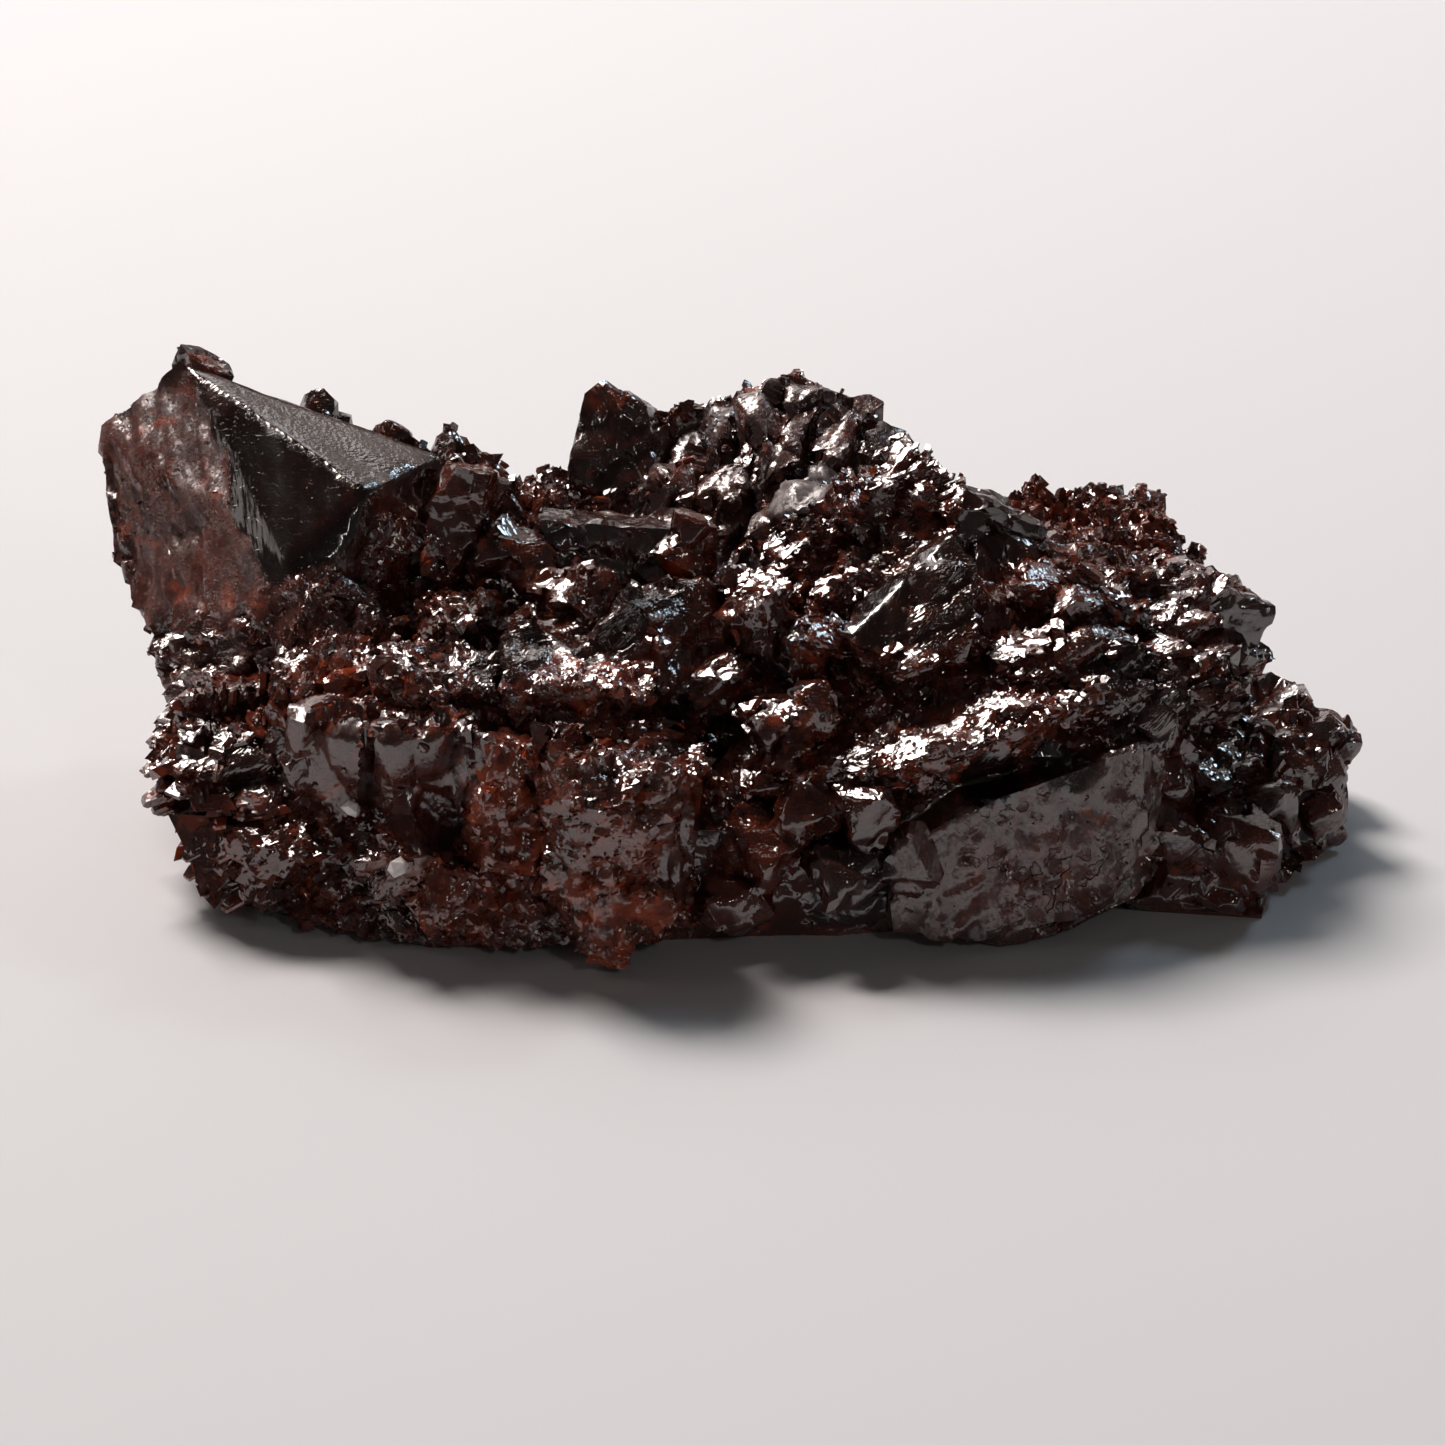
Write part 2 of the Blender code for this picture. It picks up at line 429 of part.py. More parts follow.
def main():
    clear_scene()
    specimen = new_collection("sphalerite specimen")
    growth = new_collection("growth", hidden=True)
    pieces = great_lumps(growth) + placed_crystals(growth) + knob_ridges(growth)
    rough = union_of(pieces, "rough", growth)
    pieces += scattered_crystals(rough.data, growth)
    whole = union_of(pieces, "sphalerite", specimen)
    pieces.append(rough)
    bm = bmesh.new()
    bm.from_mesh(whole.data)
    cut_away(bm, Vector((0, 0, BASE_CUT)), Vector((0, 0, -1)))
    keep_largest(bm)
    tidy(bm)
    bmesh.ops.translate(bm, vec=-Vector(MIDDLE), verts=bm.verts)
    bmesh.ops.scale(bm, vec=(MM, MM, MM), verts=bm.verts)
    bm.to_mesh(whole.data)
    bm.free()
    whole.data.materials.clear()
    whole.data.materials.append(finish_of("sphalerite"))
    for piece in pieces:
        bpy.data.objects.remove(piece, do_unlink=True)


main()
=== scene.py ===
"""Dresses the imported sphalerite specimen: broken crystal faces, drusy crystals, finish and studio."""

import math
import random

import bmesh
import bpy
import numpy as np
from bpy.props import FloatProperty, FloatVectorProperty, PointerProperty
from bpy.types import Operator, Panel, PropertyGroup
from mathutils import Euler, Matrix, Quaternion, Vector, kdtree


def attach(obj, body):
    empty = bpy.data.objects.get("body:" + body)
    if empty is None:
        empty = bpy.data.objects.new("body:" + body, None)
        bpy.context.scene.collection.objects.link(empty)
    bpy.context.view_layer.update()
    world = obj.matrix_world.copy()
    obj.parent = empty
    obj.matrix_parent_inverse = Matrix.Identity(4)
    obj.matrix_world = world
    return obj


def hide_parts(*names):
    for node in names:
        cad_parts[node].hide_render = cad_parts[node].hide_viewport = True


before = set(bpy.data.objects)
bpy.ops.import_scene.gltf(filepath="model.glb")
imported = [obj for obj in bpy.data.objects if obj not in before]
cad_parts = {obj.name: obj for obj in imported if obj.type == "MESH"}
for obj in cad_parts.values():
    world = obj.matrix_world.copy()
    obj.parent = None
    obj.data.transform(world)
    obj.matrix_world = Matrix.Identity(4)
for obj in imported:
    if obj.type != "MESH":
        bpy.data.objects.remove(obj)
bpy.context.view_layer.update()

bl_info = {
    "name": "Sphalerite specimen",
    "version": (1, 0, 0),
    "blender": (4, 5, 0),
    "location": "3D View > Sidebar > Specimen",
    "description": "Grows the crystal faces and the druse of a sphalerite specimen on its packed solid",
    "category": "Add Mesh",
}

MM = 0.001
SEED = 7
# Corners of the solid this close in mm are merged, and edges shorter than this dissolved.
MERGED, TOO_SHORT = 0.002, 0.01
# How many times edges that are too long are halved.
HALVINGS = 4
# How much longer edges may be on the faces turned from the camera and on those turned to it.
BACK_COARSER, FRONT_COARSER = 1.8, 1.04
# Tries at placing a patch over the whole solid, and the width in mm of patches that would just cover it then.
PATCH_TRIES = 14000
FINEST_PATCH = 0.65
# Patches step up or down by their kind's step times a number between these.
STEPS_DOWN, STEPS_UP = -1.0, 0.6
# A patch turns to the face that catches a light this often, where that face lies near enough to the surface.
LIT_SHARE, LIT_REACH = 0.9, 0.45
# Elsewhere it turns to its second nearest face this often, where that one is near enough.
SECOND_SHARE, SECOND_REACH = 0.35, 0.62

# The camera looks along +Y and down, at this point, and the picture is this wide there.
LOOK_AT = Vector((-0.05, -5.88, 7.5)) * MM
LOOK_DOWN = math.radians(25.0)
DISTANCE = 250 * MM
PICTURE_WIDTH = 1445 * 0.0448 * MM
SENSOR = 36.0
TO_CAMERA = Vector((0.0, -math.cos(LOOK_DOWN), math.sin(LOOK_DOWN)))

# The lights: place in metres, width and height in metres, power in watts and colour.
LIGHTS = {
    "key": ((-0.20, 0.28, 0.46), 0.19, 0.19, 3.25, (1.0, 0.89, 0.84)),
    "curtain": ((-0.17, 0.46, 0.42), 0.55, 0.30, 0.80, (1.0, 0.95, 0.93)),
    "window": ((0.16, 0.60, 0.32), 0.70, 0.30, 0.26, (1.0, 0.94, 0.89)),
    "side": ((0.30, 0.34, 0.40), 0.09, 0.09, 0.36, (0.66, 0.84, 1.0)),
    "left": ((-0.46, -0.05, 0.40), 0.14, 0.14, 0.06, (1.0, 0.90, 0.86)),
    "front": ((0.20, -0.42, 0.32), 0.05, 0.05, 0.10, (1.0, 0.92, 0.88)),
}
# The surroundings: how bright they are at the horizon and overhead.
HORIZON, OVERHEAD = 0.07, 0.02

# Crystal faces of a cubic lattice: the twelve cleavage faces and the two tetrahedra.
CLEAVAGE = [
    Vector((a, b, 0)).normalized() for a in (1, -1) for b in (1, -1)
] + [
    Vector((a, 0, b)).normalized() for a in (1, -1) for b in (1, -1)
] + [
    Vector((0, a, b)).normalized() for a in (1, -1) for b in (1, -1)
]
TETRAHEDRON = [Vector(face).normalized() for face in ((1, 1, 1), (1, -1, -1), (-1, 1, -1), (-1, -1, 1))]

# The ways, in the specimen's frame, that long patches and growth lines run on some faces.
DOWN_THE_PEAK = Vector((0.14, -0.52, -0.84)).normalized()
ALONG_THE_PEAK = Vector((0.90, -0.36, -0.24)).normalized()
RIDGE_WAY = Vector((0.38, 0.62, 0.68)).normalized()
STANDING = Vector((0.04, -0.20, 0.98)).normalized()
UP_THE_SLOPE = Vector((0.72, 0.30, 0.62)).normalized()
ALONG_THE_FOOT = Vector((0.90, 0.28, 0.34)).normalized()

# Kinds of surface. edge: longest mesh edge in mm. patch: width in mm of the patches that it is cut in, and
# the way and times that they are drawn out. tilt: how far a patch turns to its crystal face. dome, step,
# depth: the bulge of a patch, its step up or down, and the furthest that it moves the surface, in mm. grow:
# small crystals to the square millimetre, their least and greatest width in mm, and how deep they sit against
# their width. kinds: the shapes of those crystals. look: roughness, share of red, share of dull brown, and
# how far the tiniest facets lean. lined: how strongly fine growth lines show.
SURFACES = {
    "mirror": dict(
        edge=0.60, patch=(1.5, DOWN_THE_PEAK, 4), tilt=0.0, dome=0.01, step=0.012, depth=0.03,
        grow=(0.02, 0.2, 0.4, 0.5), kinds=("block",), look=(0.12, 0.04, 0.0, 0.01),
    ),
    "wrinkled": dict(
        edge=0.32, patch=(0.7, DOWN_THE_PEAK, 2.2), tilt=0.50, dome=0.12, step=0.12, depth=0.30,
        grow=(1.4, 0.14, 0.42, 0.55), kinds=("chip",), look=(0.36, 0.85, 0.42, 0.18),
    ),
    "striated": dict(
        edge=0.50, patch=(0.6, ALONG_THE_PEAK, 8), tilt=0.03, dome=0.0, step=0.03, depth=0.06,
        grow=(0.02, 0.15, 0.3, 0.5), kinds=("block",), look=(0.17, 0.05, 0.9, 0.02), lined=0.50,
    ),
    "pitted": dict(
        edge=0.22, patch=(1.0, UP_THE_SLOPE, 2.2), tilt=0.22, dome=0.04, step=0.06, depth=0.22,
        grow=(0.5, 0.15, 0.4, 0.5), kinds=("block",), look=(0.26, 0.65, 0.75, 0.10),
    ),
    "smooth": dict(
        edge=0.46, patch=(1.4, None, 1), tilt=0.24, dome=0.10, step=0.08, depth=0.24,
        grow=(0.15, 0.15, 0.4, 0.5), kinds=("block",), look=(0.14, 0.12, 0.35, 0.03),
    ),
    "gem": dict(
        edge=0.32, patch=(0.9, None, 1), tilt=0.30, dome=0.02, step=0.06, depth=0.14,
        grow=(0.1, 0.15, 0.4, 0.5), kinds=("block",), look=(0.08, 0.45, 0.0, 0.05),
    ),
    # Ridges on the knob whose dull brown goes so high that a pale painted sheen comes over them.
    "ridged_with_painted_sheen": dict(
        edge=0.36, patch=(1.0, RIDGE_WAY, 3), tilt=0.40, dome=0.12, step=0.16, depth=0.40,
        grow=(0.8, 0.2, 0.6, 0.45), kinds=("block",), look=(0.40, 0.10, 2.4, 0.14),
    ),
    "bumpy": dict(
        edge=0.36, patch=(0.9, None, 1), tilt=0.7, dome=0.10, step=0.20, depth=0.42,
        grow=(4.0, 0.2, 0.8, 0.5), kinds=("block", "chip"), look=(0.20, 0.60, 0.4, 0.20),
    ),
    "platy": dict(
        edge=0.40, patch=(0.8, None, 1), tilt=0.9, dome=0.0, step=0.25, depth=0.40,
        grow=(7.0, 0.25, 1.3, 0.36), kinds=("plate", "chip", "plate"), look=(0.16, 0.75, 0.2, 0.10),
    ),
    "sugary": dict(
        edge=0.38, patch=(0.7, None, 1), tilt=0.8, dome=0.06, step=0.22, depth=0.40,
        grow=(8.0, 0.16, 0.60, 0.45), kinds=("block", "chip"), look=(0.17, 1.0, 0.3, 0.22),
    ),
    "granular": dict(
        edge=0.40, patch=(0.8, None, 1), tilt=0.9, dome=0.06, step=0.26, depth=0.45,
        grow=(8.5, 0.18, 0.75, 0.42), kinds=("block", "chip"), look=(0.16, 0.7, 0.1, 0.20),
    ),
    "glitter": dict(
        edge=0.34, patch=(0.65, None, 1), tilt=1.0, dome=0.0, step=0.12, depth=0.38,
        grow=(13.0, 0.15, 0.55, 0.34), kinds=("plate", "block", "plate"), look=(0.15, 0.60, 0.0, 0.06),
        lined=0.25,
    ),
    "glassy": dict(
        edge=0.36, patch=(1.2, None, 1), tilt=0.8, dome=0.0, step=0.16, depth=0.38,
        grow=(2.4, 0.2, 0.9, 0.42), kinds=("block", "chip"), look=(0.11, 0.40, 0.0, 0.08),
    ),
    "ledged": dict(
        edge=0.36, patch=(0.8, ALONG_THE_FOOT, 3), tilt=0.9, dome=0.0, step=0.18, depth=0.34,
        grow=(6.0, 0.18, 0.9, 0.42), kinds=("plate", "block"), look=(0.16, 0.55, 0.1, 0.10), lined=0.35,
    ),
    # On the knob's ridges the dull brown is partly their dull colour and partly painted sheen.
    "ridged": dict(
        edge=0.30, patch=(0.72, RIDGE_WAY, 4.0), tilt=0.62, dome=0.14, step=0.26, depth=0.60,
        grow=(2.2, 0.18, 0.7, 0.5), kinds=("needle", "block"), look=(0.27, 0.55, 0.75, 0.16), lined=0.3,
    ),
    "bladed": dict(
        edge=0.36, patch=(0.7, STANDING, 5), tilt=0.35, dome=0.04, step=0.12, depth=0.30,
        grow=(0.4, 0.2, 0.5, 0.5), kinds=("block",), look=(0.13, 0.35, 0.3, 0.06), lined=0.2,
    ),
    "folded": dict(
        edge=0.34, patch=(1.5, STANDING, 1.7), tilt=0.38, dome=0.36, step=0.26, depth=0.62,
        grow=(0.5, 0.2, 0.7, 0.5), kinds=("block",), look=(0.20, 0.45, 0.25, 0.07),
    ),
    "barrel": dict(
        edge=0.34, patch=(1.3, STANDING, 1.8), tilt=0.50, dome=0.26, step=0.26, depth=0.60,
        grow=(1.0, 0.2, 0.9, 0.45), kinds=("block",), look=(0.11, 0.45, 0.1, 0.04), lined=0.3,
    ),
    "amber": dict(
        edge=0.34, patch=(0.95, None, 1), tilt=0.60, dome=0.16, step=0.26, depth=0.60,
        grow=(6.0, 0.16, 0.65, 0.45), kinds=("block", "chip"), look=(0.17, 1.0, 0.2, 0.20),
    ),
    "lines": dict(
        edge=0.32, patch=(0.45, UP_THE_SLOPE, 5), tilt=0.6, dome=0.02, step=0.08, depth=0.25,
        grow=(0.8, 0.15, 0.4, 0.5), kinds=("block",), look=(0.13, 0.20, 0.2, 0.06), lined=1.00,
    ),
}
KINDS = list(SURFACES)
# The most dull brown in the table above, where the pale painted sheen is strongest, and a lean that none
# there goes beyond.
DULLEST, LEANING = 2.4, 0.26

# Where each kind of surface is: centre and radius in mm.
PLACES = [
    # The left peak: its dull left face, its dark front face, its grey top and its back.
    ("wrinkled", (-25.2, 3.6, 14.8), 4.2), ("wrinkled", (-27.0, 5.6, 15.4), 3.0),
    ("wrinkled", (-23.2, -0.8, 12.4), 2.6), ("wrinkled", (-25.4, 1.4, 11.4), 2.8),
    ("mirror", (-20.6, 2.4, 16.4), 3.3), ("mirror", (-19.0, -0.6, 14.6), 3.0),
    ("mirror", (-22.4, 4.8, 17.6), 1.7), ("striated", (-17.4, 4.6, 17.0), 3.4),
    ("striated", (-21.6, 6.8, 18.2), 2.2), ("striated", (-14.2, 4.6, 16.0), 2.0),
    ("smooth", (-23.6, 11.3, 15.6), 3.6), ("smooth", (-17.5, 9.5, 15.4), 3.2),
    ("smooth", (-26.7, 11.0, 12.0), 2.8), ("bumpy", (-24.3, -1.6, 8.4), 3.6),
    ("bumpy", (-21.0, -3.6, 10.8), 2.6), ("bumpy", (-17.4, -3.0, 12.2), 2.8),
    ("smooth", (-22.6, -2.3, 9.4), 1.1), ("granular", (-13.8, -1.0, 12.4), 3.0),
    ("granular", (-18.0, 13.0, 9.0), 5.0),
    # The dark rim between the peak and the valley.
    ("glassy", (-12.6, 4.4, 14.4), 2.6), ("gem", (-11.9, 1.0, 14.6), 2.4), ("gem", (-24.3, 9.9, 17.8), 1.3),
    ("gem", (-18.9, 9.6, 16.3), 1.0), ("gem", (-15.4, 7.4, 15.9), 0.9),
    # The valley.
    ("smooth", (-6.6, 1.2, 13.4), 1.9), ("smooth", (-3.4, 1.2, 13.2), 1.9),
    ("gem", (-1.5, -0.4, 13.6), 1.5), ("gem", (-10.1, -0.3, 13.4), 1.7), ("gem", (-8.4, -1.6, 13.0), 1.5),
    ("glassy", (-7.4, -2.9, 12.2), 2.2), ("lines", (-5.4, -7.2, 11.8), 1.9),
    ("lines", (-2.6, -4.8, 13.2), 1.5), ("gem", (-0.8, -5.0, 11.6), 1.8),
    ("lines", (-9.4, -7.8, 11.8), 1.7), ("glassy", (-11.4, -4.0, 11.6), 2.4),
    ("gem", (0.0, -7.4, 10.2), 1.5), ("gem", (2.2, -6.2, 12.2), 1.4), ("glassy", (3.0, -10.4, 9.6), 2.0),
    ("granular", (-1.6, -10.0, 9.0), 2.6),
    # The knob.
    ("bladed", (-5.0, 8.0, 16.2), 2.6), ("ridged", (0.6, 5.4, 14.6), 4.4),
    ("ridged", (4.6, 7.4, 16.2), 4.0), ("ridged_with_painted_sheen", (4.4, 4.6, 15.2), 2.3),
    ("ridged_with_painted_sheen", (3.4, 1.4, 15.4), 1.5), ("ridged", (7.6, 7.6, 15.4), 2.4),
    ("granular", (2.5, 13.0, 16.0), 3.0),
    # The main mass, from its crest to its foot.
    ("glitter", (4.6, -2.4, 14.0), 3.6), ("glitter", (8.0, -1.2, 16.0), 2.4),
    ("glitter", (5.0, -6.8, 12.0), 1.6), ("mirror", (6.8, -7.0, 13.8), 1.8),
    ("lines", (9.8, -7.2, 13.8), 2.0), ("smooth", (9.8, -4.4, 16.0), 1.6),
    ("smooth", (13.0, -1.6, 15.0), 2.4), ("ledged", (15.4, -4.2, 12.8), 4.0),
    ("ledged", (19.4, -3.6, 11.8), 3.6), ("glitter", (11.6, -7.8, 11.6), 2.2),
    ("lines", (17.6, -7.6, 9.8), 2.4), ("smooth", (22.4, -3.6, 11.2), 1.8),
    ("glitter", (8.4, -11.4, 9.6), 3.0), ("glitter", (12.6, -10.4, 10.4), 2.6),
    ("glitter", (4.4, -11.0, 8.6), 2.0), ("glitter", (16.2, -9.4, 9.8), 2.2),
    ("mirror", (12.0, -11.9, 7.4), 1.9), ("mirror", (15.0, -11.2, 7.9), 1.8),
    ("pitted", (13.0, -13.5, 4.5), 4.0), ("pitted", (17.4, -11.8, 5.4), 3.2),
    ("pitted", (9.4, -14.0, 3.0), 2.2), ("gem", (3.6, -12.8, 6.2), 1.8), ("gem", (6.4, -13.4, 6.4), 1.6),
    ("smooth", (5.6, -13.9, 3.4), 2.0), ("gem", (1.2, -12.6, 3.6), 2.2),
    ("granular", (16.0, 5.0, 12.0), 4.0),
    # The cluster on the right.
    ("barrel", (21.3, -8.6, 2.6), 3.0), ("barrel", (24.4, -6.0, 3.0), 2.4),
    ("barrel", (27.0, -2.4, 3.0), 3.0), ("barrel", (24.8, 0.6, 4.6), 2.4),
    ("glassy", (21.6, -4.4, 4.4), 2.6), ("barrel", (27.4, 2.0, 3.0), 2.4),
    # The lower left, from the plates to the front block.
    ("platy", (-22.2, -5.4, 6.8), 3.6), ("platy", (-22.0, -8.8, 3.0), 3.2),
    ("lines", (-20.6, -8.4, 6.6), 1.8), ("folded", (-17.0, -11.0, 8.6), 2.2),
    ("folded", (-12.8, -12.4, 7.4), 2.8), ("folded", (-15.0, -11.6, 8.8), 1.6),
    ("sugary", (-16.8, -10.4, 10.2), 1.2), ("sugary", (-13.0, -11.2, 9.9), 1.4),
    ("sugary", (-13.4, -9.6, 10.6), 1.8), ("amber", (-9.4, -13.6, 6.0), 3.0),
    ("amber", (-4.8, -16.4, 6.0), 4.2), ("sugary", (-5.0, -9.6, 10.4), 3.4),
    ("sugary", (-14.6, -6.8, 10.6), 3.0), ("glitter", (-15.4, -13.0, 3.8), 2.4),
    ("granular", (-19.0, -11.6, 2.4), 2.6), ("sugary", (-10.0, -14.2, 2.2), 3.0),
    ("gem", (-1.8, -14.8, 5.6), 2.5),
    # The back and the foot.
    ("granular", (0.0, 12.0, 6.0), 8.0), ("granular", (0.0, 0.0, 2.0), 7.0),
    ("granular", (12.0, 9.0, 6.0), 5.0),
]
# How far from its edge, against its radius, a kind of surface reaches its whole height.
EDGE_OF_PLACE = 0.12
# The share of their height that patches keep at the edge of their kind's place.
EDGE_HEIGHT = 0.3
# Patches turned further than this from the surface, as a cosine, aren't cut any steeper. A dome falls from
# the middle of its patch by this times the square of the distance, against the patch's width.
STEEPEST_PATCH, DOME_FALL = 0.4, 2.2
# The pits of the front face: middle in mm, how far round it they lie, how many, and their least and greatest
# radius and their depth in mm.
PITS = ((14.2, -13.2, 4.4), 3.2, 110, 0.16, 0.42, 0.42)
# Faces that meet more sharply than this show an edge between them.
SHARP = math.radians(19)
# Where a painted orange-red glow stands for light coming through thin crystal: centre and radius in mm.
PAINTED_GLOWS = [
    ((-27.3, 3.7, 12.3), 0.8), ((-2.2, -0.9, 13.3), 0.8), ((-4.9, -16.6, 1.0), 1.7),
    ((-5.6, -17.2, 4.0), 1.6), ((7.2, 9.0, 16.4), 1.0), ((-16.8, -7.6, 10.4), 1.0),
    ((3.0, -10.8, 9.8), 0.8), ((-3.4, -17.0, 2.6), 1.6), ((-10.2, -13.6, 7.6), 1.3),
    ((-8.4, -14.2, 5.0), 1.2), ((-23.6, -7.0, 6.0), 1.2), ((-23.6, -8.8, 2.6), 1.2),
    ((-5.4, 9.2, 17.0), 0.7), ((-1.4, 6.0, 14.8), 0.8), ((-3.4, -6.4, 11.4), 1.0), ((20.8, -6.0, 9.6), 1.0),
]
# Nothing moves below this height in mm, so that the specimen still rests on its flat face, and the surface
# moves by its whole amount this far above it.
REST, WHOLE_ABOVE = 0.02, 0.6
# The depth in mm from which a pit has none of the dull brown, so that it is darker with painted shade, and
# how red and how high in mm the rim round the resting face is.
PAINTED_PIT_SHADE, RED_RIM, RIM_HEIGHT = 0.08, 0.8, 0.7
# The way that the fine growth lines run on the clean faces.
STREAK_WAY = (0.22, -0.70, -0.68)
# How strongly the crystal bends light, and the pale flecks.
GLASSY, MILKY = 2.05, 1.54
# Heights in metres of the finest relief: streaks, waves, growth lines and the specks of the pitted face.
STREAK_HEIGHT, WAVE_HEIGHT, LINE_HEIGHT, SPECK_DEPTH = 0.000035, 0.00005, 0.00006, 0.00016

# Growth domains with a turn of their own: centre in mm, and the light that their faces send to the camera.
LIT_DOMAINS = [
    ((8.4, -10.8, 9.6), "key"), ((12.4, -9.8, 10.4), "key"), ((4.6, -11.2, 8.4), "key"),
    ((18.6, -7.0, 10.8), "key"), ((15.0, -6.6, 11.6), "key"), ((16.6, -5.0, 13.0), "side"),
    ((20.4, -4.0, 11.8), "key"), ((12.0, -7.8, 11.4), "key"), ((6.5, -0.5, 15.0), "side"),
    ((4.2, -3.6, 13.4), "key"), ((8.6, -0.8, 16.2), "key"), ((5.2, -6.8, 12.2), "side"),
    ((2.9, -10.6, 9.8), "key"), ((-10.0, -0.8, 14.0), "side"), ((-8.4, 2.2, 14.2), "side"),
    ((-5.4, -7.2, 12.0), "key"), ((-9.4, -7.9, 11.9), "side"), ((-2.6, -4.7, 13.2), "side"),
    ((-1.5, -0.7, 14.0), "side"), ((0.0, 5.4, 15.0), "side"), ((4.6, 7.0, 16.4), "key"),
    ((7.0, 7.4, 15.8), "side"), ((-1.0, 3.6, 13.4), "key"), ((2.0, 7.6, 16.6), "side"),
    ((-22.4, -8.6, 7.2), "key"), ((-20.6, -8.8, 7.2), "side"), ((-23.4, -6.0, 7.8), "side"),
    ((-16.6, -12.0, 4.8), "key"), ((-24.3, 0.2, 11.1), "left"), ((9.3, -7.6, 13.7), "key"),
    ((-0.6, 5.0, 14.6), "curtain"), ((2.2, 6.6, 15.8), "curtain"), ((5.8, 6.8, 16.2), "curtain"),
    ((1.8, 4.2, 14.2), "curtain"), ((-2.6, 7.0, 15.4), "curtain"), ((3.8, 8.6, 17.2), "curtain"),
    ((-24.0, -4.6, 7.6), "curtain"), ((-21.6, -9.4, 5.2), "curtain"), ((-22.8, -7.2, 4.6), "curtain"),
    ((-17.8, -10.2, 6.0), "curtain"), ((-24.4, -2.2, 8.6), "curtain"), ((19.6, -2.6, 12.2), "curtain"),
    ((17.4, -3.8, 12.6), "curtain"), ((21.8, -4.8, 10.6), "curtain"), ((6.2, -4.6, 13.6), "curtain"),
    ((-7.4, -3.0, 12.6), "curtain"), ((-4.0, -2.2, 12.6), "curtain"), ((15.8, -9.4, 9.9), "key"),
]
DOMAINS = 110


class SpecimenSizes(PropertyGroup):
    """Sizes of the crystal faces and of the druse."""

    mesh_fineness: FloatProperty(
        name="Mesh fineness", description="Longest mesh edge, against the one set for each kind of surface",
        default=1.0, min=0.5, max=8.0,
    )
    druse_density: FloatProperty(
        name="Druse density", description="How close the small crystals grow, against the photograph's",
        default=1.0, min=0.05, max=3.0,
    )
    druse_width: FloatProperty(
        name="Druse width", description="How wide the small crystals are, against the photograph's",
        default=1.0, min=0.2, max=3.0,
    )


def colour_property(name, description, default):
    return FloatVectorProperty(
        name=name, description=description, subtype="COLOR", default=default, min=0.0, max=1.0,
    )


class SpecimenColours(PropertyGroup):
    """Colours of the specimen and its surroundings."""

    dark: colour_property("Dark", "Colour deep in the crystal", (0.006, 0.003, 0.0027))
    red: colour_property("Red-brown", "Colour of the druse and of thin places", (0.23, 0.041, 0.017))
    # Painted glow: the orange-red that stands in for light coming through thin crystal.
    painted_glow: colour_property("Glow", "Colour where light comes through a thin crystal", (0.46, 0.070, 0.014))
    brown: colour_property("Dull brown", "Colour of the dull crystal faces", (0.066, 0.032, 0.027))
    # Painted sheen: a pale grey that stands in for the sheen on part of the knob.
    painted_sheen: colour_property("Frost", "Colour of the pale frosted patch on the knob", (0.26, 0.23, 0.225))
    pale: colour_property("Pale flecks", "Colour of the tiny pale crystals", (0.86, 0.82, 0.80))
    floor: colour_property("Floor", "Colour of the floor", (0.75, 0.775, 0.80))


def sizes():
    return bpy.context.scene.specimen_sizes


def colours():
    return bpy.context.scene.specimen_colours


def hidden_collection(name):
    """A collection for shapes that pieces are made from. It isn't linked, so nothing in it shows."""
    return bpy.data.collections.new(name)


def object_from(bm, name, collection=None):
    mesh = bpy.data.meshes.new(name)
    bm.to_mesh(mesh)
    bm.free()
    obj = bpy.data.objects.new(name, mesh)
    (collection or bpy.context.scene.collection).objects.link(obj)
    return obj


def add_piece(obj, material):
    obj.data.materials.clear()
    obj.data.materials.append(material)
    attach(obj, "root")
    return obj


def mm(point):
    return Vector(point) * MM


def kinds_at(points):
    """The number of the kind of surface at each place, and from 0 to 1 how far inside it the place is."""
    kinds = np.array([KINDS.index(kind) for kind, _, _ in PLACES])
    centres = np.array([centre for _, centre, _ in PLACES]) * MM
    radii = np.array([radius for _, _, radius in PLACES]) * MM
    away = np.linalg.norm(points[:, None, :] - centres[None], axis=2) / radii
    kind = kinds[away.argmin(axis=1)]
    others = np.where(kinds[None, :] == kind[:, None], np.inf, away).min(axis=1)
    return kind, np.clip((others - away.min(axis=1)) / EDGE_OF_PLACE, 0.0, 1.0)


def of_kind(fact):
    """One fact of every kind of surface, in the order of their numbers, and 0 where a kind hasn't it."""
    return np.array([SURFACES[kind].get(fact, 0.0) for kind in KINDS])


def painted_glow_at(points):
    """How strongly the painted orange-red glow shows at each place, from 0 to 1."""
    painted_glow = np.zeros(len(points))
    for centre, radius in PAINTED_GLOWS:
        away = np.linalg.norm(points - np.array(centre) * MM, axis=1) / (radius * MM)
        painted_glow = np.maximum(painted_glow, np.clip(1.3 - away, 0.0, 1.0))
    return painted_glow


def drawn_in(points, way, times):
    """Points moved closer along a way, so that round patches there are long ones in the specimen."""
    if way is None:
        return points
    way = np.array(way)
    return points - (points @ way)[:, None] * way * (1 - 1 / times)


def halfway(light):
    """The normal of a face that sends this light to the camera."""
    place = Vector(LIGHTS[light][0])
    return (place.normalized() + TO_CAMERA).normalized()


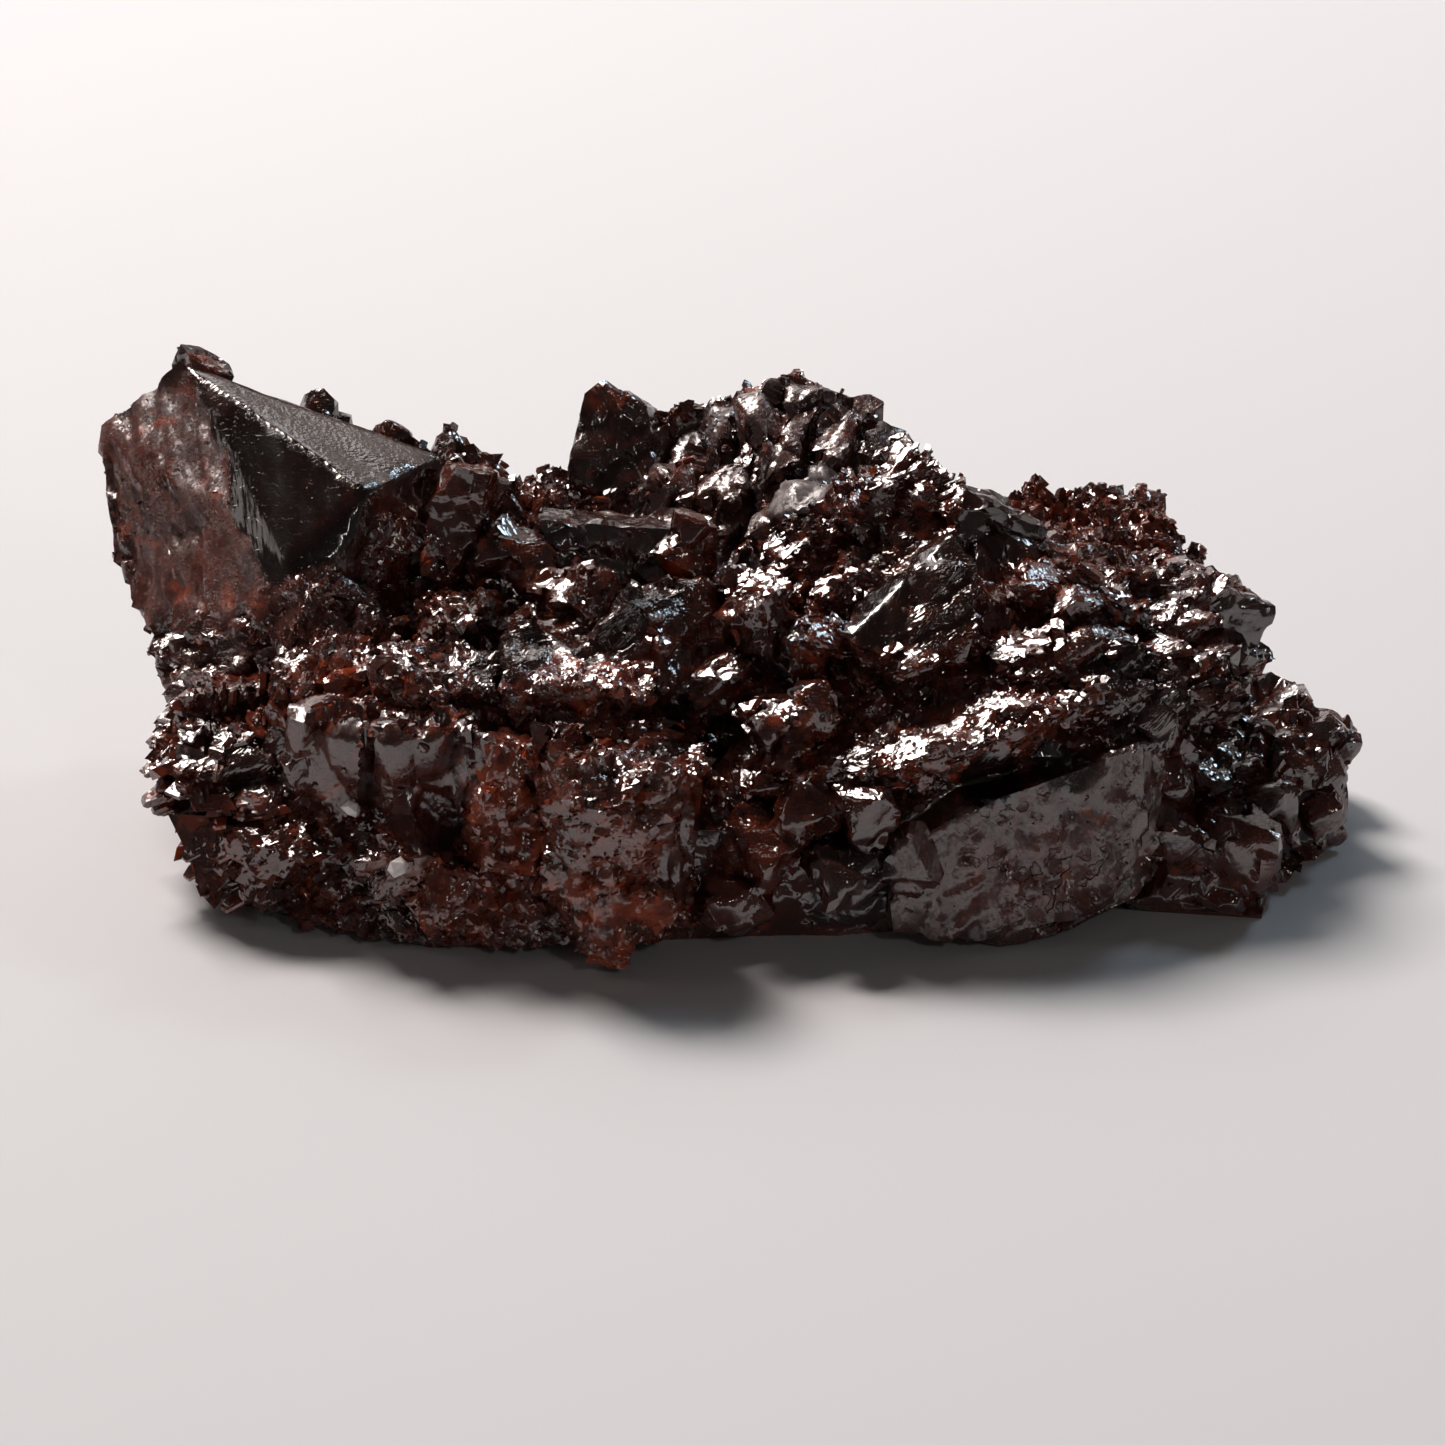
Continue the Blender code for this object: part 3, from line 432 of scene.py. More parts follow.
class GrowthDomains:
    """Which way the lattice lies at each place, so that faces near each other catch the light together."""

    def __init__(self, points, rng):
        self.turns, self.lit = [], len(LIT_DOMAINS)
        centres = []
        for centre, light in LIT_DOMAINS:
            centres.append(mm(centre))
            spin = Quaternion(halfway(light), rng.uniform(0, math.pi))
            self.turns.append(spin @ CLEAVAGE[0].rotation_difference(halfway(light)))
        for point in points:
            centres.append(point)
            self.turns.append(Euler([rng.uniform(0, math.pi) for _ in range(3)]).to_quaternion())
        self.tree = kdtree.KDTree(len(centres))
        for index, centre in enumerate(centres):
            self.tree.insert(centre, index)
        self.tree.balance()

    def turn_at(self, point):
        return self.turns[self.tree.find(point)[1]]

    def face_at(self, point, normal, rng):
        """The crystal face that a patch turns to: the nearest, the next, or the one that catches a light."""
        number = self.tree.find(point)[1]
        turn = self.turns[number]
        if number < self.lit and rng.random() < LIT_SHARE and (turn @ CLEAVAGE[0]).dot(normal) > LIT_REACH:
            return turn @ CLEAVAGE[0]
        nearest, second = sorted((turn @ face for face in CLEAVAGE), key=normal.dot, reverse=True)[:2]
        return second if second.dot(normal) > SECOND_REACH and rng.random() < SECOND_SHARE else nearest


def surface_points(mesh, count, rng):
    """Random points on a mesh with their normals, as many on each face as its area asks for."""
    mesh.calc_loop_triangles()
    triangles = list(mesh.loop_triangles)
    areas = [triangle.area for triangle in triangles]
    found = []
    for triangle in rng.choices(triangles, areas, k=count):
        a, b, c = (mesh.vertices[i].co for i in triangle.vertices)
        u, v = rng.random(), rng.random()
        if u + v > 1:
            u, v = 1 - u, 1 - v
        found.append((a + (b - a) * u + (c - a) * v, triangle.normal.copy()))
    return found


def split_long_edges(bm, fineness):
    """Halves the edges that are longer than their kind of surface asks for. The resting face stays coarse."""
    for _ in range(HALVINGS):
        edges = list(bm.edges)
        ends = np.array([(*edge.verts[0].co, *edge.verts[1].co) for edge in edges])
        length = np.linalg.norm(ends[:, :3] - ends[:, 3:], axis=1)
        middle = (ends[:, :3] + ends[:, 3:]) / 2
        longest = of_kind("edge")[kinds_at(middle)[0]] * MM * fineness
        bm.normal_update()
        facing = [sum((face.normal for face in edge.link_faces), Vector()).dot(TO_CAMERA) for edge in edges]
        longest *= np.where(np.array(facing) < 0.0, BACK_COARSER, FRONT_COARSER)
        resting = (ends[:, 2] < REST * MM) & (ends[:, 5] < REST * MM)
        long_edges = [edges[i] for i in np.flatnonzero((length > longest) & ~resting)]
        bmesh.ops.subdivide_edges(bm, edges=long_edges, cuts=1)
        bmesh.ops.triangulate(bm, faces=bm.faces)


def patches_of(mesh, domains, rng):
    """The patches of every kind of surface: middle, the crystal face it turns to, and its step up or down."""
    points = surface_points(mesh, PATCH_TRIES, rng)
    kinds, _ = kinds_at(np.array([point for point, _ in points]))
    patches = [[] for _ in KINDS]
    for (point, normal), kind in zip(points, kinds):
        width, _, times = SURFACES[KINDS[kind]]["patch"]
        if rng.random() > (FINEST_PATCH / width) ** 2 / times:
            continue
        face = domains.face_at(point, normal, rng)
        patches[kind].append((*point, *face, rng.uniform(STEPS_DOWN, STEPS_UP)))
    return patches


def cut_patches(points, normals, patches):
    """How far each point moves along its normal to cut the surface into its patches."""
    kinds, inside = kinds_at(points)
    heights = np.zeros(len(points))
    for number, kind in enumerate(KINDS):
        chosen = np.flatnonzero(kinds == number)
        if not len(chosen) or not patches[number]:
            continue
        facts = SURFACES[kind]
        width, way, times = facts["patch"]
        table = np.array(patches[number])
        middles = drawn_in(table[:, :3], way, times)
        tree = kdtree.KDTree(len(middles))
        for index, middle in enumerate(middles):
            tree.insert(middle, index)
        tree.balance()
        places = drawn_in(points[chosen], way, times)
        found = [tree.find(place) for place in places]
        mine = table[[index for _, index, _ in found]]
        away = np.array([distance for _, _, distance in found]) / (width * MM)
        slope = np.maximum((normals[chosen] * mine[:, 3:6]).sum(axis=1), STEEPEST_PATCH)
        plane = -((points[chosen] - mine[:, :3]) * mine[:, 3:6]).sum(axis=1) / slope
        height = facts["tilt"] * plane + facts["step"] * MM * mine[:, 6]
        height += facts["dome"] * MM * (1 - np.minimum(1.0, away ** 2 * DOME_FALL))
        heights[chosen] = np.clip(height, -facts["depth"] * MM, facts["depth"] * MM)
    return heights * (EDGE_HEIGHT + (1 - EDGE_HEIGHT) * inside)


def sink_pits(points, rng):
    """How deep each point sinks into a pit of the front face."""
    centre, reach, count, smallest, largest, depth = PITS
    depths = np.zeros(len(points))
    for _ in range(count):
        pit = np.array(centre) + [rng.gauss(0, 0.45) * reach for _ in range(3)]
        radius = rng.uniform(smallest, largest)
        # A pit is drawn out across the thickness of the face, so that it is sure to meet the surface.
        away = (points / MM - pit) * (1.0, 0.12, 1.3)
        depths = np.maximum(depths, np.clip(1.3 - np.linalg.norm(away, axis=1) / radius, 0, 1) * depth * MM)
    kinds, inside = kinds_at(points)
    return depths * (kinds == KINDS.index("pitted")) * inside


def keep_half(bm, normal, reach):
    """Cuts a shape by a plane and closes the cut."""
    geometry = bm.verts[:] + bm.edges[:] + bm.faces[:]
    cut = bmesh.ops.bisect_plane(
        bm, geom=geometry, dist=1e-6, plane_co=normal * reach, plane_no=normal, clear_outer=True
    )
    edges = [e for e in cut["geom_cut"] if isinstance(e, bmesh.types.BMEdge)]
    if len(edges) > 2:
        bmesh.ops.contextual_create(bm, geom=edges)


# The width of the cube that crystal shapes are cut from.
RAW_WIDTH = 1.15


def crystal_shape(name, cuts, collection):
    """A crystal about one unit wide between lattice faces: cuts are (face normal, how far out)."""
    bm = bmesh.new()
    bmesh.ops.create_cube(bm, size=RAW_WIDTH)
    for normal, reach in cuts:
        keep_half(bm, normal, reach)
    bmesh.ops.dissolve_limit(bm, angle_limit=0.01, verts=bm.verts, edges=bm.edges)
    bmesh.ops.recalc_face_normals(bm, faces=bm.faces)
    return object_from(bm, name, collection)


# The way that a plate is thin and the way that a needle is long.
PLATE_AXIS, NEEDLE_AXIS = CLEAVAGE[0], TETRAHEDRON[0]
# Pairs of cleavage faces that close a block or a plate together with the first face.
BLOCK_SIDES = tuple((CLEAVAGE[a], CLEAVAGE[b]) for a, b in ((1, 4), (4, 9), (1, 8), (5, 8)))


def chip_cuts(rng):
    """A few-sided chip: one tetrahedron with some of its corners and edges cut."""
    cuts = [(face, rng.uniform(0.20, 0.32)) for face in TETRAHEDRON]
    cuts += [(-face, rng.uniform(0.40, 0.60)) for face in rng.sample(TETRAHEDRON, 2)]
    return cuts + [(CLEAVAGE[0], rng.uniform(0.16, 0.26))]


def block_cuts(rng):
    """A blocky crystal: three pairs of cleavage faces, the first pair the widest."""
    cuts = [(CLEAVAGE[0], rng.uniform(0.22, 0.30)), (-CLEAVAGE[0], rng.uniform(0.22, 0.30))]
    for face in rng.choice(BLOCK_SIDES):
        cuts += [(face, rng.uniform(0.26, 0.38)), (-face, rng.uniform(0.26, 0.38))]
    return cuts + [(rng.choice((1, -1)) * rng.choice(TETRAHEDRON), rng.uniform(0.34, 0.44))]


def plate_cuts(rng):
    """A thin plate, flat to the first cleavage face."""
    thick = rng.uniform(0.06, 0.12)
    cuts = [(PLATE_AXIS, thick), (-PLATE_AXIS, thick)]
    for face in rng.choice(BLOCK_SIDES):
        cuts += [(face, rng.uniform(0.26, 0.50)), (-face, rng.uniform(0.26, 0.50))]
    return cuts


def needle_cuts(rng):
    """A prism, three times as long as wide, along the first face of the tetrahedron."""
    sides = [face for face in CLEAVAGE if abs(face.dot(NEEDLE_AXIS)) < 0.1]
    cuts = [(face, rng.uniform(0.11, 0.20)) for face in sides]
    return cuts + [(NEEDLE_AXIS, 0.5), (-NEEDLE_AXIS, 0.5), (rng.choice(CLEAVAGE), 0.34)]


# Each shape's size in its own units is made up to about the width wanted.
WIDTH_OF = {"chip": 1.5, "block": 1.15, "plate": 1.1, "needle": 1.0}
# Each kind of shape, how it is cut, and how many of it there are.
SHAPE_KINDS = (
    ("chip", chip_cuts, 10), ("block", block_cuts, 6), ("plate", plate_cuts, 5), ("needle", needle_cuts, 4),
)


def crystal_shapes(rng):
    """All the small crystal shapes in one collection, and the first and last number of each kind."""
    collection = hidden_collection("crystal shapes")
    spans, number = {}, 0
    for kind, cuts, count in SHAPE_KINDS:
        spans[kind] = (number, number + count - 1)
        for _ in range(count):
            crystal_shape(f"shape_{number:02d}", cuts(rng), collection)
            number += 1
    return collection, spans


def grow_on(points, name, shapes):
    """Puts a crystal shape on each point, as its attributes say, and returns them all as one mesh object."""
    tree = bpy.data.node_groups.new("grow crystals", "GeometryNodeTree")
    tree.interface.new_socket("Geometry", in_out="INPUT", socket_type="NodeSocketGeometry")
    tree.interface.new_socket("Geometry", in_out="OUTPUT", socket_type="NodeSocketGeometry")
    add = tree.nodes.new
    start, end = add("NodeGroupInput"), add("NodeGroupOutput")
    pool = add("GeometryNodeCollectionInfo")
    pool.inputs["Collection"].default_value = shapes
    pool.inputs["Separate Children"].default_value = True
    place = add("GeometryNodeInstanceOnPoints")
    place.inputs["Pick Instance"].default_value = True
    realize = add("GeometryNodeRealizeInstances")
    sockets = (
        ("shape", "INT", "Instance Index"), ("turn", "QUATERNION", "Rotation"), ("size", "FLOAT", "Scale"),
    )
    for attribute, kind, socket in sockets:
        read = add("GeometryNodeInputNamedAttribute")
        read.data_type = kind
        read.inputs["Name"].default_value = attribute
        tree.links.new(read.outputs["Attribute"], place.inputs[socket])
    tree.links.new(start.outputs[0], place.inputs["Points"])
    tree.links.new(pool.outputs[0], place.inputs["Instance"])
    tree.links.new(place.outputs[0], realize.inputs[0])
    tree.links.new(realize.outputs[0], end.inputs[0])
    modifier = points.modifiers.new("grow", "NODES")
    modifier.node_group = tree
    graph = bpy.context.evaluated_depsgraph_get()
    mesh = bpy.data.meshes.new_from_object(points.evaluated_get(graph))
    mesh.name = name
    grown = bpy.data.objects.new(name, mesh)
    bpy.context.scene.collection.objects.link(grown)
    bpy.data.objects.remove(points, do_unlink=True)
    bpy.data.node_groups.remove(tree)
    for attribute in ("shape", "turn", "size"):
        if attribute in mesh.attributes:
            mesh.attributes.remove(mesh.attributes[attribute])
    return grown


def crystal_points(crystals):
    """A mesh of bare points that carry each crystal's shape number, turn, size and tint."""
    mesh = bpy.data.meshes.new("crystal points")
    mesh.vertices.add(len(crystals))
    mesh.vertices.foreach_set("co", [c for crystal in crystals for c in crystal["place"]])
    shapes = [crystal["shape"] for crystal in crystals]
    mesh.attributes.new("shape", "INT", "POINT").data.foreach_set("value", shapes)
    turns = [part for crystal in crystals for part in crystal["turn"]]
    mesh.attributes.new("turn", "QUATERNION", "POINT").data.foreach_set("value", turns)
    for name in ("size", "tint", "red", "painted_glow"):
        values = [crystal[name] for crystal in crystals]
        mesh.attributes.new(name, "FLOAT", "POINT").data.foreach_set("value", values)
    obj = bpy.data.objects.new("crystal points", mesh)
    bpy.context.scene.collection.objects.link(obj)
    return obj


class Nodes:
    """Short ways to build a material's node tree."""

    def __init__(self, name):
        self.material = bpy.data.materials.new(name)
        self.material.use_nodes = True
        self.tree = self.material.node_tree
        self.shader = self.tree.nodes["Principled BSDF"]
        self.place = self.add("ShaderNodeTexCoord").outputs["Object"]

    def add(self, kind, **values):
        node = self.tree.nodes.new(kind)
        for key, value in values.items():
            setattr(node, key, value)
        return node

    def link(self, source, target):
        self.tree.links.new(source, target)

    def stretched(self, way, times):
        """Coordinates in which a pattern is drawn out along a direction."""
        node = self.add("ShaderNodeMapping", vector_type="TEXTURE")
        node.inputs["Rotation"].default_value = Vector(way).to_track_quat("Z", "Y").to_euler()
        node.inputs["Scale"].default_value = (1.0, 1.0, times)
        self.link(self.place, node.inputs["Vector"])
        return node.outputs[0]

    def noise(self, scale, detail=3.0, vector=None):
        node = self.add("ShaderNodeTexNoise")
        node.inputs["Scale"].default_value = scale
        node.inputs["Detail"].default_value = detail
        self.link(vector or self.place, node.inputs["Vector"])
        return node.outputs["Fac"]

    def spread(self, value, low, high, to_low=0.0, to_high=1.0):
        node = self.add("ShaderNodeMapRange")
        for key, number in (("From Min", low), ("From Max", high), ("To Min", to_low), ("To Max", to_high)):
            node.inputs[key].default_value = number
        self.link(value, node.inputs["Value"])
        return node.outputs[0]

    def math(self, operation, a, b=0.5):
        node = self.add("ShaderNodeMath", operation=operation)
        for socket, value in zip(node.inputs, (a, b)):
            if isinstance(value, (int, float)):
                socket.default_value = value
            else:
                self.link(value, socket)
        return node.outputs[0]

    def times(self, a, b):
        return self.math("MULTIPLY", a, b)

    def plus(self, a, b):
        return self.math("ADD", a, b)

    def mix(self, factor, a, b):
        node = self.add("ShaderNodeMix", data_type="RGBA")
        for socket, value in ((node.inputs["Factor"], factor), (node.inputs["A"], a), (node.inputs["B"], b)):
            if isinstance(value, (tuple, int, float)):
                socket.default_value = value
            else:
                self.link(value, socket)
        return node.outputs["Result"]

    def attribute(self, name):
        return self.add("ShaderNodeAttribute", attribute_name=name).outputs["Fac"]

    def tilted_cells(self, scale, tilt):
        """Heights that make small flat facets, each tilted its own way."""
        cells = self.add("ShaderNodeTexVoronoi")
        cells.inputs["Scale"].default_value = scale
        self.link(self.place, cells.inputs["Vector"])
        away = self.add("ShaderNodeVectorMath", operation="SUBTRACT")
        self.link(self.place, away.inputs[0])
        self.link(cells.outputs["Position"], away.inputs[1])
        lean = self.add("ShaderNodeVectorMath", operation="SUBTRACT")
        self.link(cells.outputs["Color"], lean.inputs[0])
        lean.inputs[1].default_value = (0.5, 0.5, 0.5)
        dot = self.add("ShaderNodeVectorMath", operation="DOT_PRODUCT")
        self.link(away.outputs[0], dot.inputs[0])
        self.link(lean.outputs[0], dot.inputs[1])
        return self.times(dot.outputs["Value"], tilt)

    def bump(self, height):
        """Bump from heights in metres."""
        node = self.add("ShaderNodeBump")
        node.inputs["Strength"].default_value = 1.0
        node.inputs["Distance"].default_value = 1.0
        self.link(height, node.inputs["Height"])
        self.link(node.outputs[0], self.shader.inputs["Normal"])


def rgba(colour):
    return (*colour, 1.0)


def crystal_colour(n, red):
    """Near black, going red-brown in blotches, with orange-red specks and a painted orange-red glow of light
    through thin crystal at the listed places.
    """
    palette = colours()
    blotches = n.spread(n.noise(240.0, 3.0), 0.40, 0.60, 0.35, 1.0)
    fine = n.spread(n.noise(1500.0, 2.0), 0.44, 0.62)
    share = n.times(n.plus(n.times(blotches, 0.65), n.times(fine, 0.35)), red)
    base = n.mix(share, rgba(palette.dark), rgba(palette.red))
    # Orange-red specks at random, in the colour of the painted glow.
    spots = n.times(n.spread(n.noise(620.0, 1.0), 0.60, 0.72), fine)
    # Painted glow of light through thin crystal, broken up by noise.
    thin = n.times(n.attribute("painted_glow"), n.spread(n.noise(900.0, 1.0), 0.38, 0.60))
    return n.mix(n.math("MAXIMUM", n.times(spots, red), thin), base, rgba(palette.painted_glow))


def body_finish():
    """Clean streaky crystal faces and glassy broken ones, lined and specked where their attributes say;
    specks are darker with painted shade.
    """
    n = Nodes("sphalerite faces")
    palette = colours()
    dots = n.times(n.spread(n.noise(1700.0, 1.0), 0.53, 0.58), n.spread(n.noise(420.0, 0.0), 0.42, 0.56))
    # Specks on the pitted face: sunk by bump, and darker in red and dull brown as painted shade.
    specks_with_painted_shade = n.times(n.attribute("pitted"), dots)
    red = n.times(n.attribute("red"), n.math("SUBTRACT", 1.0, n.times(specks_with_painted_shade, 0.6)))
    grain = n.spread(n.noise(2600.0, 2.0, n.stretched(STREAK_WAY, 3.0)), 0.35, 0.65, 0.35, 1.0)
    dull = n.times(n.times(n.attribute("brown"), DULLEST), grain)
    dull = n.times(dull, n.math("SUBTRACT", 1.0, specks_with_painted_shade))
    colour = n.mix(n.math("MINIMUM", dull, 1.0), crystal_colour(n, red), rgba(palette.brown))
    # Where there is more dull brown than that, a pale painted sheen comes over it.
    colour = n.mix(n.spread(dull, 1.2, DULLEST, 0.0, 0.75), colour, rgba(palette.painted_sheen))
    n.link(colour, n.shader.inputs["Base Color"])
    n.shader.inputs["IOR"].default_value = GLASSY
    smear = n.spread(n.noise(900.0, 2.0, n.stretched(STREAK_WAY, 5.0)), 0.3, 0.7, 0.6, 1.5)
    n.link(n.times(n.attribute("rough"), smear), n.shader.inputs["Roughness"])
    streaks = n.times(n.noise(2900.0, 2.0, n.stretched(STREAK_WAY, 14.0)), STREAK_HEIGHT)
    waves = n.times(n.noise(700.0, 1.0, n.stretched(STREAK_WAY, 2.5)), WAVE_HEIGHT)
    lines = n.times(n.noise(6000.0, 1.0, n.stretched(UP_THE_SLOPE, 22.0)), n.attribute("lined"))
    facets = n.times(n.attribute("facets"), LEANING)
    cells = n.times(n.tilted_cells(2500.0, 1.0), facets)
    fine_cells = n.times(n.tilted_cells(7000.0, 1.3), facets)
    height = n.plus(n.plus(streaks, waves), n.plus(cells, fine_cells))
    height = n.plus(height, n.times(lines, LINE_HEIGHT))
    n.bump(n.math("SUBTRACT", height, n.times(specks_with_painted_shade, SPECK_DEPTH)))
    return n.material


def druse_finish():
    """Small crystals: each with a tint of its own."""
    n = Nodes("sphalerite druse")
    tint = n.attribute("tint")
    red = n.times(n.attribute("red"), n.spread(tint, 0.0, 1.0, 0.45, 1.3))
    n.link(crystal_colour(n, red), n.shader.inputs["Base Color"])
    n.shader.inputs["IOR"].default_value = GLASSY
    n.link(n.spread(tint, 0.0, 1.0, 0.26, 0.06), n.shader.inputs["Roughness"])
    n.bump(n.tilted_cells(6000.0, 0.24))
    return n.material


def fleck_finish():
    """Pale milky quartz-like flecks."""
    n = Nodes("pale flecks")
    grain = n.spread(n.noise(2500.0, 4.0), 0.35, 0.65, 0.75, 1.0)
    shade = n.mix(grain, (0.45, 0.42, 0.40, 1.0), rgba(colours().pale))
    n.link(shade, n.shader.inputs["Base Color"])
    n.shader.inputs["IOR"].default_value = MILKY
    n.link(n.spread(n.noise(3000.0), 0.3, 0.7, 0.15, 0.5), n.shader.inputs["Roughness"])
    n.bump(n.times(n.noise(5000.0, 3.0), 0.00003))
    return n.material


def floor_finish():
    n = Nodes("plain floor")
    soft = n.spread(n.noise(30.0, 2.0), 0.3, 0.7, 0.0, 0.06)
    n.link(n.mix(soft, rgba(colours().floor), (0.69, 0.70, 0.715, 1.0)), n.shader.inputs["Base Color"])
    n.shader.inputs["Roughness"].default_value = 0.85
    return n.material


def studio_world():
    """Soft surroundings, brighter round the horizon than overhead."""
    world = bpy.data.worlds.new("studio")
    world.use_nodes = True
    tree = world.node_tree
    place = tree.nodes.new("ShaderNodeTexCoord")
    split = tree.nodes.new("ShaderNodeSeparateXYZ")
    spread = tree.nodes.new("ShaderNodeMapRange")
    for key, number in (("From Min", 0.0), ("From Max", 0.75), ("To Min", HORIZON), ("To Max", OVERHEAD)):
        spread.inputs[key].default_value = number
    tree.links.new(place.outputs["Generated"], split.inputs[0])
    tree.links.new(split.outputs["Z"], spread.inputs["Value"])
    backdrop = tree.nodes["Background"]
    backdrop.inputs["Color"].default_value = (1.0, 0.89, 0.85, 1.0)
    tree.links.new(spread.outputs[0], backdrop.inputs["Strength"])
    return world


def growth_domains():
    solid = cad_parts["sphalerite"].data
    rng = random.Random(SEED)
    return GrowthDomains([point for point, _ in surface_points(solid, DOMAINS, rng)], rng)


def surface_values(points, pits):
    """What the material reads at each point of the body, each from 0 to 1."""
    kinds, inside = kinds_at(points)
    rough, red, brown, lean = of_kind("look")[kinds].T
    # The dull brown is gone from the pits, as painted shade, and the rim round the resting face is red.
    brown = brown * inside / DULLEST * (1 - np.clip(pits / (PAINTED_PIT_SHADE * MM), 0.0, 1.0))
    rim = RED_RIM * np.clip(1.2 - points[:, 2] / (RIM_HEIGHT * MM), 0.0, 1.0)
    pitted = 1.4 - np.linalg.norm(points / MM - np.array(PITS[0]), axis=1) / PITS[1]
    return {
        "rough": rough,
        "red": np.maximum(red, rim),
        "brown": brown,
        "facets": lean / LEANING,
        "lined": of_kind("lined")[kinds] * inside,
        "pitted": np.clip(pitted, 0.0, 1.0) * (kinds == KINDS.index("pitted")) * inside,
        "painted_glow": painted_glow_at(points),
    }


class SPECIMEN_OT_body(Operator):
    """The grown body: clean crystal faces, and broken faces cut into small cleavage facets"""

    bl_idname = "specimen.grow_body"
    bl_label = "Grow body"

    def execute(self, context):
        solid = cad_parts["sphalerite"].data
        bm = bmesh.new()
        bm.from_mesh(solid)
        bmesh.ops.remove_doubles(bm, verts=bm.verts, dist=MERGED * MM)
        bmesh.ops.dissolve_degenerate(bm, edges=bm.edges, dist=TOO_SHORT * MM)
        bmesh.ops.triangulate(bm, faces=bm.faces)
        split_long_edges(bm, sizes().mesh_fineness)
        rng = random.Random(SEED)
        patches = patches_of(solid, growth_domains(), rng)
        bm.normal_update()
        points = np.array([vertex.co for vertex in bm.verts])
        normals = np.array([vertex.normal for vertex in bm.verts])
        pits = sink_pits(points, rng)
        heights = cut_patches(points, normals, patches) - pits
        heights *= np.clip((points[:, 2] / MM - REST) / WHOLE_ABOVE, 0.0, 1.0)
        moved = points + normals * heights[:, None]
        for vertex, place in zip(bm.verts, moved):
            vertex.co = place
        for name, numbers in surface_values(points, pits).items():
            layer = bm.verts.layers.float.new(name)
            for vertex, number in zip(bm.verts, np.clip(numbers, 0.0, 1.0)):
                vertex[layer] = number
        for face in bm.faces:
            face.smooth = True
        body = object_from(bm, "crystal_body")
        body.data.set_sharp_from_angle(angle=SHARP)
        add_piece(body, body_finish())
        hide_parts("sphalerite")
        return {"FINISHED"}


# The druse is in five pieces, from left to right, each up to this place along X in mm.
DRUSE = {
    "druse_far_left": -17.0, "druse_left": -8.0, "druse_middle": 1.5, "druse_right": 11.5,
    "druse_far_right": 99.0,
}
# How close the druse grows on the faces turned from the camera, against those turned to it.
BACK_SHARE = 0.55
# Nothing grows below this height in mm, nor where the surface looks down more steeply than this.
LOWEST_CRYSTAL, STEEPEST = 0.4, -0.75
# How many small crystals there are to each wide one: the higher, the more of them are small.
MOSTLY_SMALL = 2.2
# How far in degrees the small crystals are off the turn of their growth domain.
WOBBLE = 3.5


def crystal_turn(kind, surface, point, domains, rng):
    """The turn of a small crystal: its growth domain's, a little off, or along the ridges of the knob."""
    wobble = Euler([math.radians(rng.gauss(0, WOBBLE)) for _ in range(3)]).to_quaternion()
    if kind == "needle" and surface == "ridged":
        spin = Quaternion(RIDGE_WAY, rng.uniform(0, math.tau))
        return wobble @ spin @ NEEDLE_AXIS.rotation_difference(RIDGE_WAY)
    return wobble @ domains.turn_at(point)


class SPECIMEN_OT_druse(Operator):
    """The druse: small crystals that share the turn of their growth domain"""

    bl_idname = "specimen.grow_druse"
    bl_label = "Grow druse"

    def execute(self, context):
        rng = random.Random(SEED + 1)
        body = bpy.data.objects["crystal_body"].data
        domains = growth_domains()
        shapes, spans = crystal_shapes(rng)
        area = sum(face.area for face in body.polygons) / MM ** 2
        densest = max(facts["grow"][0] for facts in SURFACES.values())
        starts = surface_points(body, int(area * densest * sizes().druse_density), rng)
        places = np.array([point for point, _ in starts])
        kinds, _ = kinds_at(places)
        grown = {name: [] for name in DRUSE}
        for (point, normal), number, painted_glow in zip(starts, kinds, painted_glow_at(places)):
            surface = KINDS[number]
            facts = SURFACES[surface]
            density, small, large, sunk = facts["grow"]
            density *= 1.0 if normal.dot(TO_CAMERA) > 0.0 else BACK_SHARE
            if rng.random() > density / densest or point.z < LOWEST_CRYSTAL * MM or normal.z < STEEPEST:
                continue
            name = next(name for name, end in DRUSE.items() if point.x < end * MM)
            size = small * (large / small) ** (rng.random() ** MOSTLY_SMALL) * MM * sizes().druse_width
            kind = rng.choice(facts["kinds"])
            # None reaches below the resting face.
            if point.z < size * WIDTH_OF[kind]:
                continue
            grown[name].append({
                "place": point - normal * size * sunk,
                "shape": rng.randint(*spans[kind]),
                "turn": crystal_turn(kind, surface, point, domains, rng),
                "size": size * WIDTH_OF[kind],
                "tint": rng.random(),
                "red": facts["look"][1],
                "painted_glow": painted_glow,
            })
        finish = druse_finish()
        for name, crystals in grown.items():
            if not crystals:
                raise RuntimeError(f"no crystals grew in {name}")
            add_piece(grow_on(crystal_points(crystals), name, shapes), finish)
        return {"FINISHED"}


# The tiny pale crystals on the lower left: place in mm, width in mm, turn in degrees.
FLECKS = [((-16.3, -12.1, 6.2), 1.0, (20, 35, 10)), ((-14.2, -15.0, 4.8), 1.2, (50, 10, 40))]


class SPECIMEN_OT_flecks(Operator):
    """Two tiny pale crystals that sit on the lower left"""

    bl_idname = "specimen.set_flecks"
    bl_label = "Set pale flecks"

    def execute(self, context):
        rng = random.Random(SEED + 2)
        bm = bmesh.new()
        for place, width, turn in FLECKS:
            made = bmesh.ops.create_icosphere(bm, subdivisions=1, radius=width / 2 * MM)["verts"]
            for vertex in made:
                vertex.co *= rng.uniform(0.75, 1.15)
            bmesh.ops.scale(bm, vec=(1.0, 0.75, 0.85), verts=made)
            turned = Euler([math.radians(angle) for angle in turn]).to_matrix()
            bmesh.ops.rotate(bm, cent=(0, 0, 0), matrix=turned, verts=made)
            bmesh.ops.translate(bm, vec=mm(place), verts=made)
        flecks = object_from(bm, "pale_flecks")
        add_piece(flecks, fleck_finish())
        return {"FINISHED"}


